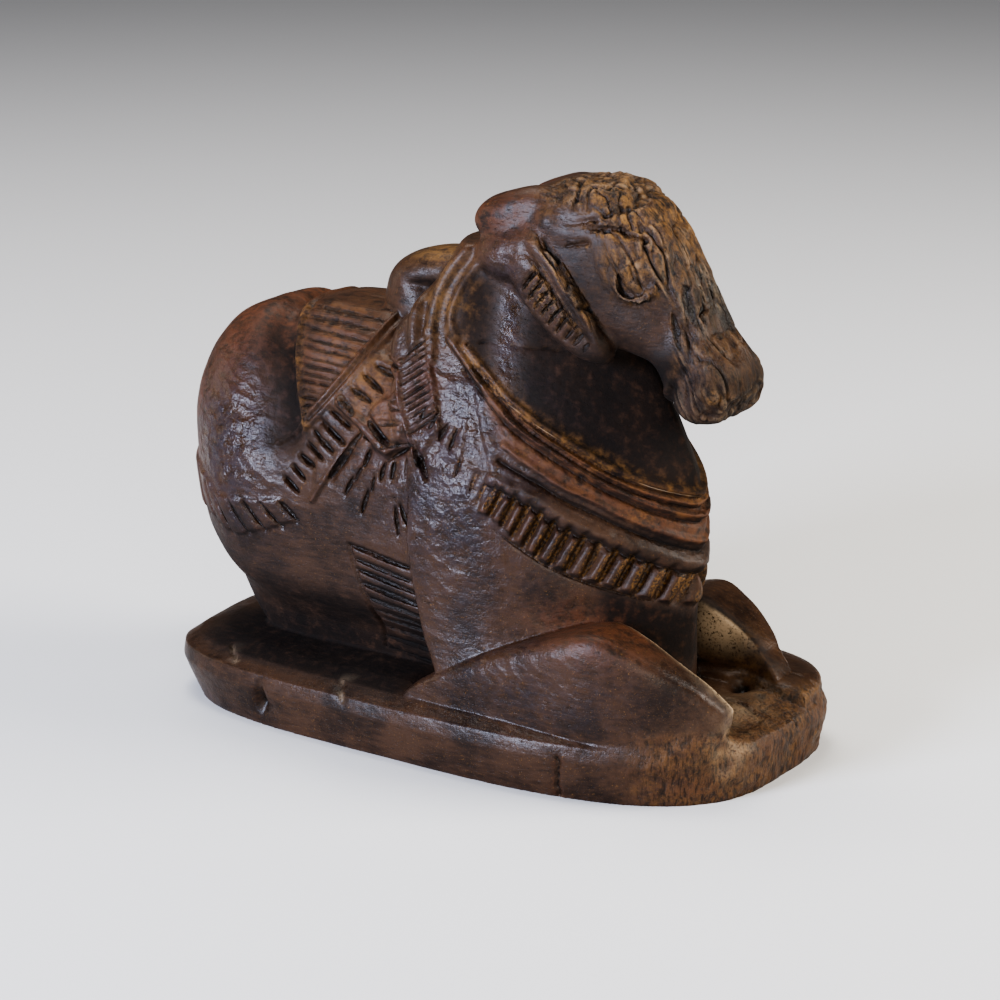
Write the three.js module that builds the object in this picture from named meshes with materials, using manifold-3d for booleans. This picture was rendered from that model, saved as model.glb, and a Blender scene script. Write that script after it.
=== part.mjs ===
// A carved wooden nandi: a bull lying on its own plinth, cut from one block of dark hardwood.
// Millimetres. X runs from the rump to the muzzle, Y to the bull's left, Z up, and the origin is the
// middle of the plinth's underside.
import * as THREE from "three";
import { mergeVertices } from "three/addons/utils/BufferGeometryUtils.js";
import Module from "manifold-3d";

const wasm = await Module();
wasm.setup();

// Driving sizes.
const plinthLength = 191;
const plinthWidth = 97;
const plinthHeight = 20;
const plinthFall = 4.5; // how far the plinth's top drops to its worn rim
const plinthRake = 5; // how far the rear wall leans inward to the underside
const bullLength = 179;
const bullHeight = 144;
const bullWidth = 88;
const cordHeight = 1.7; // how far cords, borders and lappets stand up from the hide
const cutDepth = 1.3; // how deep fringes, ribs and hatching are cut
const cutWidth = 1.3;

// The free forms keep their proportions: they are drawn on a bull 179 long, 88 wide and 144 high,
// (x, z) being places seen from its side with z counted from the plinth's top.
const stretch = { x: bullLength / 179, y: bullWidth / 88, z: bullHeight / 144 };
const seat = -7; // how far the forms reach down into the plinth
const place = (x, y, z) => [x * stretch.x, y * stretch.y, plinthHeight + z * stretch.z];

// A closed triangle surface as a solid that can be joined and cut.
function solid(geometry) {
  const bare = geometry.clone();
  for (const name of Object.keys(bare.attributes)) if (name !== "position") bare.deleteAttribute(name);
  const merged = mergeVertices(bare, 1e-3);
  return new wasm.Manifold(
    new wasm.Mesh({
      numProp: 3,
      vertProperties: new Float32Array(merged.attributes.position.array),
      triVerts: new Uint32Array(merged.index.array),
    })
  );
}

// The finished mesh, tidied: an edge shorter than the grain closes up, and a triangle left flatter than
// a thread gives its long edge over to its neighbour's far corner.
const grain = 0.03;
const thread = 0.005;

function geometryOf(body) {
  const { numProp, numVert, vertProperties, triVerts } = body.getMesh();
  const points = Array.from({ length: numVert }, (_, i) => {
    return new THREE.Vector3(...vertProperties.slice(i * numProp, i * numProp + 3));
  });
  let triangles = [];
  for (let i = 0; i < triVerts.length; i += 3) triangles.push([...triVerts.slice(i, i + 3)]);
  for (let pass = 0; pass < 5; pass++) {
    triangles = closeShortEdges(triangles, points);
    turnFlatEdges(triangles, points);
  }
  const used = [...new Set(triangles.flat())];
  const rank = new Map(used.map((old, i) => [old, i]));
  const geometry = new THREE.BufferGeometry().setFromPoints(used.map((old) => points[old]));
  geometry.setIndex(triangles.flat().map((old) => rank.get(old)));
  geometry.computeVertexNormals();
  return geometry;
}

function closeShortEdges(triangles, points) {
  const around = points.map(() => new Set());
  for (const [a, b, c] of triangles) {
    around[a].add(b).add(c);
    around[b].add(c).add(a);
    around[c].add(a).add(b);
  }
  const into = new Map();
  const touched = new Set();
  for (const triangle of triangles) {
    for (const k of [0, 1, 2]) {
      const [a, b] = [triangle[k], triangle[(k + 1) % 3]];
      if (a > b || points[a].distanceTo(points[b]) > grain) continue;
      const near = [...around[a], ...around[b]];
      const shared = [...around[a]].filter((c) => around[b].has(c));
      if (shared.length !== 2 || near.some((c) => touched.has(c))) continue;
      into.set(b, a);
      near.forEach((c) => touched.add(c));
    }
  }
  return triangles
    .map((triangle) => triangle.map((a) => into.get(a) ?? a))
    .filter(([a, b, c]) => a !== b && b !== c && c !== a);
}

function turnFlatEdges(triangles, points) {
  const owner = new Map();
  triangles.forEach((triangle, i) => {
    triangle.forEach((a, k) => owner.set(`${a},${triangle[(k + 1) % 3]}`, i));
  });
  const changed = new Set();
  triangles.forEach((triangle, i) => {
    const sides = triangle.map((a, k) => points[a].distanceTo(points[triangle[(k + 1) % 3]]));
    const k = sides.indexOf(Math.max(...sides));
    const [a, b, c] = [0, 1, 2].map((step) => triangle[(k + step) % 3]);
    const rise = (new THREE.Triangle(points[a], points[b], points[c]).getArea() * 2) / sides[k];
    const j = owner.get(`${b},${a}`);
    if (rise > thread || changed.has(i) || changed.has(j)) return;
    const d = triangles[j].find((corner) => corner !== a && corner !== b);
    if (d === c || owner.has(`${c},${d}`) || owner.has(`${d},${c}`)) return;
    triangles[i] = [a, d, c];
    triangles[j] = [d, b, c];
    [`${a},${b}`, `${b},${a}`].forEach((edge) => owner.delete(edge));
    owner.set(`${d},${c}`, i).set(`${c},${d}`, j);
    changed.add(i).add(j);
  });
}

const joined = (bodies) => bodies.reduce((whole, body) => whole.add(body));

// A closed skin through rings of equal counts, its ends closed by fans about their middles.
function skin(rings) {
  const count = rings[0].length;
  const middle = (ring) => [0, 1, 2].map((k) => ring.reduce((sum, point) => sum + point[k], 0) / count);
  const places = [middle(rings[0]), ...rings.flat(), middle(rings[rings.length - 1])];
  const at = (j, i) => 1 + j * count + (i % count);
  const top = places.length - 1;
  const triangles = [];
  for (let i = 0; i < count; i++) {
    triangles.push(0, at(0, i + 1), at(0, i));
    for (let j = 0; j < rings.length - 1; j++) {
      triangles.push(at(j, i), at(j, i + 1), at(j + 1, i + 1), at(j, i), at(j + 1, i + 1), at(j + 1, i));
    }
    triangles.push(top, at(rings.length - 1, i), at(rings.length - 1, i + 1));
  }
  const facing = (order) => {
    const geometry = new THREE.BufferGeometry();
    geometry.setAttribute("position", new THREE.BufferAttribute(new Float32Array(places.flat()), 3));
    geometry.setIndex(order);
    return solid(geometry);
  };
  const body = facing(triangles);
  return body.volume() > 0 ? body : facing(triangles.reverse());
}

// Reads values off a row of stations [at, value, ...] by a smooth cubic between each pair.
function read(stations, at) {
  const last = stations.length - 1;
  let k = 0;
  while (k < last - 1 && stations[k + 1][0] <= at) k++;
  const slope = (i, c) => {
    const [low, high] = [stations[Math.max(i - 1, 0)], stations[Math.min(i + 1, last)]];
    return (high[c] - low[c]) / (high[0] - low[0]);
  };
  const [from, to] = [stations[k], stations[k + 1]];
  const span = to[0] - from[0];
  const t = THREE.MathUtils.clamp((at - from[0]) / span, 0, 1);
  return from.slice(1).map((value, i) => {
    const c = i + 1;
    const bend = (to[c] - value) * (3 - 2 * t) * t * t;
    return value + bend + span * (slope(k, c) * t * (1 - t) ** 2 - slope(k + 1, c) * t * t * (1 - t));
  });
}

const steps = (low, high, count) =>
  Array.from({ length: count }, (_, i) => low + ((high - low) * i) / (count - 1));
const turns = (count) => Array.from({ length: count }, (_, i) => (i / count) * 2 * Math.PI);
const powered = (value, power) => Math.sign(value) * Math.abs(value) ** power;

// The trunk: upright sections along the bull. One half section, in shares of half width and height,
// runs from the back's ridge down to the tuck under the belly; the rump rounds off as a superellipse.
const trunk = { rear: -102.5, round: 44, front: 4, pole: 62, top: 99, half: 38, power: 2.8 };
const trunkSection = [
  [0, 0, 1], [1, 0.36, 0.985], [2, 0.66, 0.91], [3, 0.87, 0.79], [4, 0.97, 0.65], [5, 1, 0.5],
  [6, 0.985, 0.36], [7, 0.92, 0.25], [8, 0.66, 0.15], [9, 0.46, 0], [10, 0, 0],
];

// The haunch swells out low on the rump, and a hollow lies in front of and above it.
const haunch = { x: -75, z: 50, long: 19, high: 21, out: 3.6 };
const hollow = { x: -66, z: 78, long: 8, high: 15, out: -3.4 };
const bulge = ({ x: middle, z: level, long, high, out }, x, z) =>
  out * Math.exp(-(((x - middle) / long) ** 2) - ((z - level) / high) ** 2);

function trunkForm(swell) {
  const rump = steps(0, 1, 8).map((s) => {
    const turn = (s * Math.PI) / 2;
    return [trunk.rear + trunk.round * (1 - Math.max(Math.cos(turn), 0) ** (2 / trunk.power)),
            Math.max(Math.sin(turn), 0.05) ** (2 / trunk.power)];
  });
  const barrel = steps(rump[7][0], trunk.front, 4).slice(1).map((x) => [x, 1]);
  const half = steps(0, 10, 11).map((k) => read(trunkSection, k));
  return skin(
    [...rump, ...barrel].map(([x, size]) => {
      const low = seat + (trunk.pole - seat) * (1 - size ** 2.3) - swell * size;
      const high = trunk.pole + (trunk.top - trunk.pole) * size + swell * size;
      const side = (sign) => ([share, level]) => {
        const z = low + (high - low) * level;
        const out = (bulge(haunch, x, z) + bulge(hollow, x, z)) * share * size;
        return place(x - swell * (1 - size), sign * (share * (trunk.half * size + swell) + out), z);
      };
      return [...half.map(side(1)), ...half.slice(1, -1).reverse().map(side(-1))];
    })
  );
}

function ball({ centre, radii }, side, [around, rings]) {
  return skin(
    steps(-0.985, 0.985, rings).map((share) => {
      const level = (share * Math.PI) / 2;
      return turns(around).map((turn) => {
        const x = centre[0] + radii[0] * Math.cos(level) * Math.cos(turn);
        const y = centre[1] + radii[1] * Math.cos(level) * Math.sin(turn);
        return place(x, side * y, centre[2] + radii[2] * Math.sin(level));
      });
    })
  );
}

// The shoulders, chest and neck: level sections that come to a ridge in front like a ship's bow.
// Stations: height, rear, front, half width, how square the rear is.
const neckTop = 123;
const shoulderRound = 7; // how far in front of its rear wall the chest is widest
const chestStations = [
  [seat, 1, 56, 42, 7],
  [0, 0, 57, 42, 7],
  [21, -9, 57.5, 40.5, 7],
  [41, -13, 59, 40, 7],
  [62, -15, 58, 38, 5],
  [80, -23, 50, 33.8, 4],
  [97, -28, 41, 27.5, 3],
  [111, -19, 32, 21.5, 2.2],
  [neckTop, -13, 25, 17, 2.2],
];

function chestForm(swell) {
  return skin(
    [seat, ...steps(0, neckTop, 10).slice(1)].map((z) => {
      const [rear, front, half, square] = read(chestStations, z);
      const widest = rear + shoulderRound;
      return turns(24).map((turn) => {
        const [c, s] = [Math.cos(turn), Math.sin(turn)];
        const x = c > 0 ? c * (front - widest + swell) : powered(c, 2 / square) * (widest - rear + swell);
        const y = powered(s, c > 0 ? 1.5 : 2 / square) * (half + swell);
        return place(widest + x, y, z);
      });
    })
  );
}

// The hump: a blunt hewn knob against the neck, its top curling over a recess on either side.
const humpStations = [
  [88, -26.5, 17, 14],
  [97, -27, 16.3, 13.4],
  [105, -26.8, 15.5, 12.7],
  [111, -25, 14.8, 11.8],
  [115.5, -21.5, 10.5, 8.5],
  [117.4, -17, 3.5, 3],
];
const humpRecess = { centre: [-20, 14.5, 105.5], radii: [5.5, 5, 4] };

function humpForm() {
  return skin(
    humpStations.map(([z, centre, long, half]) =>
      turns(12).map((turn) => {
        const [c, s] = [powered(Math.cos(turn + 0.3), 0.75), powered(Math.sin(turn + 0.3), 0.75)];
        return place(centre + long * c, half * s, z);
      })
    )
  );
}

// The head: sections from poll to muzzle, each slung between an upper and a lower edge seen from the side.
// Stations: share of the way, upper x and z, lower x and z, half width, how much narrower on top.
const headStations = [
  [0, -6, 126.5, -6, 119.5, 9, 0],
  [0.1, -2, 132.5, -2.5, 111.5, 14.5, 0],
  [0.25, 10, 139, 9, 104, 18, 0.04],
  [0.4, 25, 142.6, 22, 100, 19.4, 0.1],
  [0.5, 38, 141.2, 33, 97.5, 19.2, 0.2],
  [0.6, 49.8, 132, 43, 96, 17.8, 0.32],
  [0.7, 58.2, 118.5, 50, 93, 15.5, 0.34],
  [0.8, 65, 105.5, 54.5, 83.5, 13.8, 0.24],
  [0.9, 71.5, 96.5, 61, 79.5, 14.8, 0.06],
  [1, 74, 90, 70, 81.5, 11, 0],
];

function headForm(swell) {
  return skin(
    steps(0, 1, 12).map((s) => {
      const [upX, upZ, lowX, lowZ, half, roof] = read(headStations, s);
      const reach = new THREE.Vector2(upX - lowX, upZ - lowZ).multiplyScalar(0.5);
      reach.setLength(reach.length() + swell);
      return turns(16).map((turn) => {
        const [c, t] = [powered(Math.cos(turn), 0.62), powered(Math.sin(turn), 0.62)];
        const y = c * (half + swell) * (1 - roof * (t + 1) * 0.5);
        return place((upX + lowX) / 2 + reach.x * t, y, (upZ + lowZ) / 2 + reach.y * t);
      });
    })
  );
}

// A limb of oval sections along a path of [x, y, z, half width, half height] stations.
function limb(stations, side, [around, rings], power = 1) {
  const count = stations.length - 1;
  const row = stations.map((station, i) => [i / count, ...station]);
  return skin(
    steps(0, 1, rings).map((s) => {
      const [x, y, z, wide, high] = read(row, s);
      const [ahead, behind] = [read(row, Math.min(s + 0.02, 1)), read(row, Math.max(s - 0.02, 0))];
      const lie = new THREE.Vector2(ahead[0] - behind[0], ahead[2] - behind[2]).normalize();
      return turns(around).map((turn) => {
        const [c, t] = [powered(Math.cos(turn), power) * wide, powered(Math.sin(turn), power) * high];
        return place(x - lie.y * t, side * (y + c), z + lie.x * t);
      });
    })
  );
}

const horn = [
  [20, 11, 137.2, 3, 2.5],
  [14, 11.6, 136, 5, 4.5],
  [7, 12.2, 133, 6.6, 5.8],
  [0, 12.2, 129.6, 6.4, 6],
  [-3.6, 12, 126, 4.4, 4.4],
];
const earRoot = { centre: [6, 13.6, 120.6], radii: [10.5, 8, 8] };
const ear = [
  [9, 17, 124.5, 3, 5],
  [14, 17.6, 121, 4.6, 7],
  [20, 18, 114, 5, 7.6],
  [26, 18, 107.5, 4.9, 7],
  [31.5, 17.8, 102.3, 4.4, 6],
  [36, 17, 98.8, 3.6, 4.6],
  [40, 15.5, 96, 2, 2],
];
const eye = { centre: [46, 12.2, 118], radii: [4.6, 5, 4.6] };

// The forelegs, folded under: upright sections along each, from the shoulder to the knee.
// Stations: x, outer side, inner side, top.
const nearLeg = [
  [-14, 43, 20, -4],
  [-7, 43.5, 20, 3],
  [15, 43.5, 20, 15],
  [41, 43, 21, 25],
  [50, 42, 21.5, 26.8],
  [58, 39.5, 22, 24],
  [67, 35.5, 22, 19],
  [76, 29.5, 20, 13],
  [82, 25, 18, 7],
];
const farLeg = nearLeg.map(([x, outer, inner, top]) => [x * 0.94 - 2, outer, inner - 2, top * 0.88 - 3.2]);

function legForm(stations, side) {
  return skin(
    steps(stations[0][0], stations[stations.length - 1][0], 10).map((x) => {
      const [outer, inner, top] = read(stations, x);
      return turns(12).map((turn) => {
        const [c, t] = [powered(Math.cos(turn + 0.2), 0.42), powered(Math.sin(turn + 0.2), 0.42)];
        const y = (outer + inner) / 2 + ((outer - inner) / 2) * c;
        return place(x, side * y, seat + ((top - seat) * (t + 1)) / 2);
      });
    })
  );
}

// The plinth: level rings of a superellipse whose corners differ in squareness, hewn by hand.
// Rings: height, inset from the widest outline, how far the rear is drawn forward.
const plinthMiddle = 9.5; // how far the plinth's middle lies behind the place that x is counted from
const cornerPower = { nearFront: 2.8, nearRear: 4, farFront: 4.8, farRear: 4 };
const plinthRings = [
  [0, 2.2, plinthRake],
  [plinthHeight - plinthFall - 4, 0, plinthRake * 0.1],
  [plinthHeight - plinthFall, 0.8, 0],
  [plinthHeight - 1.5, 5, 0],
  [plinthHeight, 12, 0],
];

function plinthForm() {
  return skin(
    plinthRings.map(([z, inset, rake]) => {
      const [a, b] = [plinthLength / 2 - inset, plinthWidth / 2 - inset];
      return turns(40).map((turn) => {
        const [c, s] = [Math.cos(turn), Math.sin(turn)];
        const power = 2 / cornerPower[(s < 0 ? "near" : "far") + (c > 0 ? "Front" : "Rear")];
        return [(a - (c < 0 ? rake : 0)) * powered(c, power) - plinthMiddle, b * powered(s, power), z];
      });
    })
  );
}

// The far front of the plinth stands a little higher than the rest: a slab, rounded over its edge and
// held inside the plinth's outline.
const step = { x: [40, 87], y: [14, 47], low: -9, top: 2.6, round: 3.2, inset: 1.2 };

function stepForm() {
  const [long, wide] = [(step.x[1] - step.x[0]) / 2, (step.y[1] - step.y[0]) / 2];
  const edge = [[step.low, 0], [step.top - step.round, 0], [step.top - step.round * 0.3, 0.6], [step.top, 2]];
  return skin(
    edge.map(([z, share]) => {
      const inset = share * step.round;
      return turns(12).map((turn) => {
        const [c, s] = [powered(Math.cos(turn + 0.2), 0.4), powered(Math.sin(turn + 0.2), 0.4)];
        const point = place(step.x[0] + long + (long - inset) * c, step.y[0] + wide + (wide - inset) * s, z);
        return heldInside(point, step.inset + inset);
      });
    })
  );
}

function heldInside([x, y, z], inset) {
  const power = cornerPower.farFront;
  const [a, b] = [plinthLength / 2 - inset, plinthWidth / 2 - inset];
  const reach = (Math.abs(x + plinthMiddle) / a) ** power + (Math.abs(y) / b) ** power;
  const share = Math.max(reach, 1) ** (-1 / power);
  return [(x + plinthMiddle) * share - plinthMiddle, y * share, z];
}

const forms = (swell) => [trunkForm(swell), chestForm(swell), headForm(swell)];

// Carving drawn on the side and carried round the body's curve on both flanks. Every outline is a
// prism across the bull; what it shares with the forms swollen by a height stands up, and what it
// shares with their outermost skin is cut away.
function prism(outline) {
  const corners = outline.map(([x, z]) => place(x, 0, z)).map(([x, , z]) => new THREE.Vector2(x, z));
  const across = { depth: bullWidth * 1.4, bevelEnabled: false, steps: 1 };
  const geometry = new THREE.ExtrudeGeometry(new THREE.Shape(corners), across);
  geometry.rotateX(Math.PI / 2);
  geometry.translate(0, bullWidth * 0.7, 0);
  return solid(geometry);
}

// A smooth path through side places, cut into a number of equal shares.
function shares(places, count) {
  const points = places.map(([x, z]) => new THREE.Vector3(x, z, 0));
  const curve = new THREE.CatmullRomCurve3(points, false, "centripetal");
  return steps(0, 1, count).map((t) => curve.getPointAt(t)).map(({ x, y }) => [x, y]);
}

// A strip of one width along a path.
function strip(places, width, count = places.length) {
  const points = shares(places, count);
  const edge = (sign) => points.map(([x, z], i) => {
    const [[ax, az], [bx, bz]] = [points[Math.max(i - 1, 0)], points[Math.min(i + 1, count - 1)]];
    const long = Math.hypot(bx - ax, bz - az);
    return [x - (sign * width * (bz - az)) / (2 * long), z + (sign * width * (bx - ax)) / (2 * long)];
  });
  return [...edge(1), ...edge(-1).reverse()];
}

// Straight strokes from one path to another, evenly shared along both.
const strokes = (from, to, count, width) =>
  shares(from, count).map((place, i) => strip([place, shares(to, count)[i]], width, 2));

const necklace = {
  collar: [[-6, 121], [-10, 115], [-12.5, 108], [-12.5, 101], [-10.5, 92]],
  outerCollar: [[-19, 113], [-18.5, 105], [-15, 92]],
  upperCord: [[-3, 98.5], [4, 92], [12.3, 84.6], [24.1, 77.3], [34.8, 71.3], [44.2, 65.6], [62, 56.5]],
  lowerCord: [[-6, 98], [0.7, 92], [8.9, 83.6], [19.4, 76], [30.3, 69.6], [40.3, 63.4], [62, 50.5]],
  ridge: [[15.4, 72.1], [31.6, 62.3], [45.6, 54.2], [62, 43]],
  border: [[14, 63], [21.8, 60.2], [32, 54.3], [41.4, 49], [49.6, 44.2], [62, 35.5]],
  hem: [[14, 52.5], [21.3, 46.5], [28.3, 41.3], [41.7, 35.2], [54.8, 28.1], [62, 24]],
};
const lappets = 14;
const lappetShare = 0.64; // a lappet's width as a share of the pitch

// Each lappet hangs from the border to the hem, leaning back a little.
function lappetOutlines() {
  const [top, low] = [shares(necklace.border, lappets * 10 + 1), shares(necklace.hem, lappets * 10 + 1)];
  return Array.from({ length: lappets }, (_, i) => {
    const [a, b] = [i * 10 + 2, i * 10 + 2 + Math.round(10 * lappetShare)];
    return [top[a], top[b], low[b], low[a]];
  });
}

const saddle = {
  rear: [[-67.5, 99.5], [-62.5, 92.2], [-60, 87.5], [-55.7, 80.3], [-49.5, 69]],
  front: [[-35.5, 99], [-37.3, 88.5], [-40.5, 83.5], [-50, 71]],
  ribs: 10,
};
const girth = {
  outerCord: [[-33, 99], [-34.5, 93.5], [-37, 88.3], [-44.5, 76.5], [-58.5, 63]],
  innerCord: [[-29, 98], [-31.8, 92], [-35.2, 85.5], [-44, 73.3], [-51, 66.5]],
  fringeTop: [[-29.5, 93], [-33.2, 83.8], [-43.7, 69.5], [-54, 54]],
  fringeLow: [[-19.5, 92], [-24.5, 82], [-36.6, 64.7], [-49.2, 50]],
  strap: [[-19.5, 90], [-15.9, 78], [-8.5, 64.5]],
  hatchRear: [[-18.3, 92], [-17.8, 86], [-15.5, 79.5], [-12, 72.5]],
  hatchFront: [[-12, 97.5], [-10, 91], [-7, 84.5], [-4, 78]],
};
const knot = {
  at: [-20.9, 72.6],
  long: 7.4,
  high: 8,
  cutFrom: [[-27.5, 75], [-23, 81]],
  cutTo: [[-20, 66], [-14.5, 75]],
};
const tassel = {
  left: [[-33, 35], [-29.4, 21], [-34, 4]],
  right: [[-11, 30], [-7, 9], [-6, 0]],
};
const crupper = [[-112, 55], [-91, 50.5], [-84, 47.5], [-79, 44.2], [-68, 44.5], [-58, 46]];
const earNotches = {
  rear: [[14.5, 113], [28, 101.5], [33.5, 98.5]],
  front: [[20, 119], [31.5, 106], [36.5, 102]],
};
const bridle = [[43.7, 91], [46.5, 85], [50, 79.5]];

const oval = ({ at, long, high }) =>
  turns(12).map((turn) => [at[0] + long * Math.cos(turn), at[1] + high * Math.sin(turn)]);

const cords = [
  strip(necklace.collar, 2.6),
  strip(necklace.outerCollar, 2.6),
  strip(necklace.upperCord, 2.6, 8),
  strip(necklace.lowerCord, 1.8, 8),
  strip(necklace.ridge, 1.7, 5),
  strip(necklace.border, 2.4, 7),
  ...lappetOutlines(),
  strip(saddle.rear, 2.8),
  strip(girth.outerCord, 1.7),
  strip(girth.innerCord, 1.7),
  strip(girth.strap, 1.5),
  oval(knot),
  strip(crupper, 1.8),
];
const cuts = [
  ...strokes(saddle.rear, saddle.front, saddle.ribs + 1, 1).slice(1, -1),
  ...strokes(girth.fringeTop, girth.fringeLow, 10, cutWidth),
  ...strokes(girth.hatchRear, girth.hatchFront, 7, 1.1),
  ...strokes(tassel.left, tassel.right, 8, cutWidth),
];
const knotCuts = strokes(knot.cutFrom, knot.cutTo, 3, cutWidth);

const raisedTo = (height, outlines) => joined(outlines.map(prism)).intersect(joined(forms(height)));
const skinOf = (out, inward) => joined(forms(out)).subtract(joined(forms(-inward)));

const between = solid(new THREE.BoxGeometry(bullLength, 41 * stretch.y, 3 * bullHeight));
const notches = joined(strokes(earNotches.rear, earNotches.front, 5, 1.4).map(prism)).subtract(between);
const ears = [1, -1].map((side) => limb(ear, side, [8, 7], 0.7));
const smooth = joined([plinthForm(), ...forms(0)]);
const cutDown = smooth.subtract(joined(cuts.map(prism)).intersect(skinOf(0.5, cutDepth)));
const raised = joined([
  raisedTo(cordHeight, cords).subtract(joined(knotCuts.map(prism)).intersect(skinOf(4, 0.2))),
  raisedTo(1.2, [strip(bridle, 1.8)]),
]);

const body = joined([
  cutDown,
  raised,
  humpForm().subtract(joined([1, -1].map((side) => ball(humpRecess, side, [7, 5])))),
  ...[1, -1].flatMap((side) => [
    limb(horn, side, [8, 6]),
    ball(earRoot, side, [9, 5]),
    ball(eye, side, [8, 5]),
  ]),
  ...ears.map((form) => form.subtract(notches)),
  legForm(nearLeg, -1),
  legForm(farLeg, 1),
  stepForm(),
]);

const wood = new THREE.MeshStandardMaterial({ color: 0x3a2419, roughness: 0.45, metalness: 0 });
const figure = new THREE.Mesh(geometryOf(body), wood);
figure.name = "nandi_bull";

// The origin goes under the middle of the whole figure.
figure.geometry.computeBoundingBox();
const middle = figure.geometry.boundingBox.getCenter(new THREE.Vector3());
figure.geometry.translate(-middle.x, -middle.y, -figure.geometry.boundingBox.min.z);

const group = new THREE.Group();
group.add(figure);
export default group;
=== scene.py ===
# A carved wooden nandi on its own plinth, one block of dark hardwood, worn and handled.
import math
import bpy
import numpy as np
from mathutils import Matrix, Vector


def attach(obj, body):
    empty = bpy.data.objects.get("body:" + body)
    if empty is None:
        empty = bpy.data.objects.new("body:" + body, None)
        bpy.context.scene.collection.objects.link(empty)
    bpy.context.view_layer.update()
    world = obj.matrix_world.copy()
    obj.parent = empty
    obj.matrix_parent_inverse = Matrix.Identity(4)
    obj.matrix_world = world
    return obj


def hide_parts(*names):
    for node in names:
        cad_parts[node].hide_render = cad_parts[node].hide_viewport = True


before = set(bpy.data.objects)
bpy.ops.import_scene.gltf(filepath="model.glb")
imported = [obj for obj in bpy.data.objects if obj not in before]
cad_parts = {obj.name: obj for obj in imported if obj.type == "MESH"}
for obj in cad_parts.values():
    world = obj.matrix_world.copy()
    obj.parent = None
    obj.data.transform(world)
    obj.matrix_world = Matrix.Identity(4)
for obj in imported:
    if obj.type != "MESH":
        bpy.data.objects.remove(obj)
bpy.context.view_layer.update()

# Drawn millimetres: x along the bull, y to its left, z counted from the plinth's top.
frameShift = 9.25  # the drawing's x lies this far behind the frame's
plinthTop = 20.0
faceDown = (0.48, 0, -0.88)  # the way down the face, along which its furrows run

block = {
    "voxel": 0.42,  # mm, grain of the joined block
    "gridStep": 0.45,  # mm between points on a form
    "smoothing": 1,
    "triangles": 194000,
}


def toScene(points):
    # drawn millimetres to metres in the frame
    p = np.asarray(points, float)
    return (p + np.array([frameShift, 0, plinthTop])) / 1000


def toDrawn(co):
    # metres in the frame to drawn millimetres
    return co * 1000 - np.array([frameShift, 0, plinthTop])


def read(stations, at):
    # smooth cubic through rows of [place, value, ...], slopes taken from the neighbours
    s, at = np.asarray(stations, float), np.asarray(at, float)
    index = np.arange(len(s))
    low, high = np.maximum(index - 1, 0), np.minimum(index + 1, len(s) - 1)
    slope = (s[high, 1:] - s[low, 1:]) / (s[high, :1] - s[low, :1])
    k = np.clip(np.searchsorted(s[:, 0], at, side="right") - 1, 0, len(s) - 2)
    span = (s[k + 1, 0] - s[k, 0])[..., None]
    t = np.clip((at - s[k, 0])[..., None] / span, 0, 1)
    a, b = s[k, 1:], s[k + 1, 1:]
    bend = slope[k] * t * (1 - t) ** 2 - slope[k + 1] * t * t * (1 - t)
    return a + (b - a) * (3 - 2 * t) * t * t + span * bend


def columnsOf(stations, at):
    # what the stations say at each place, one column for each value
    return [value[:, None] for value in read(stations, at).T]


def ringsOf(x, y, z):
    # points in rows of rings from their coordinates, repeated where one is the same along a row
    return np.stack(np.broadcast_arrays(x, y, z), axis=2)


def powered(value, power):
    # the power of the size, with the sign kept
    return np.sign(value) * np.abs(value) ** power


def smoothStep(low, high, value):
    # from 0 at low to 1 at high, three squares less two cubes of the share of the way
    t = np.clip((value - low) / (high - low), 0, 1)
    return t * t * (3 - 2 * t)


def evenTurns(outline, count):
    # turns at which a closed outline is cut into equal lengths
    dense = np.linspace(0, 2 * np.pi, 60001)
    x, y = outline(dense)
    run = np.concatenate([[0], np.cumsum(np.hypot(np.diff(x), np.diff(y)))])
    return np.interp(np.linspace(0, run[-1], count, endpoint=False), run, dense)


def smoothPath(places, count=40):
    # a smooth line through places, its points evenly spread
    p = np.asarray(places, float)
    run = np.concatenate([[0], np.cumsum(np.hypot(*np.diff(p, axis=0).T))])
    if len(p) < 3:
        return p[0] + (p[-1] - p[0]) * np.linspace(0, 1, count)[:, None]
    return read(np.column_stack([run, p]), np.linspace(0, run[-1], count))


def nearest(points, path):
    # distance from each point to a line, the share of the way along it, and its left or right side
    best = np.full(len(points), 1e9)
    share, side = np.zeros(len(points)), np.ones(len(points))
    count = len(path) - 1
    for i in range(count):
        a, b = path[i], path[i + 1]
        d = b - a
        t = np.clip(((points - a) @ d) / max(d @ d, 1e-9), 0, 1)
        off = points - a - t[:, None] * d
        far = np.hypot(off[:, 0], off[:, 1])
        closer = far < best
        best = np.where(closer, far, best)
        share = np.where(closer, (i + t) / count, share)
        cross = d[0] * (points[:, 1] - a[1]) - d[1] * (points[:, 0] - a[0])
        side = np.where(closer, np.sign(cross), side)
    return best, share, side


def farFrom(points, places):
    # distance from each point to the smooth line through places
    return nearest(points, smoothPath(places))[0]


def nearestInSpace(points, places):
    # distance from each point to a line in space
    path = np.asarray(places, float)
    far = np.full(len(points), 1e9)
    for a, b in zip(path[:-1], path[1:]):
        d = b - a
        t = np.clip((points - a) @ d / (d @ d), 0, 1)
        off = points - a - t[:, None] * d
        far = np.minimum(far, np.sqrt((off * off).sum(1)))
    return far


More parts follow.
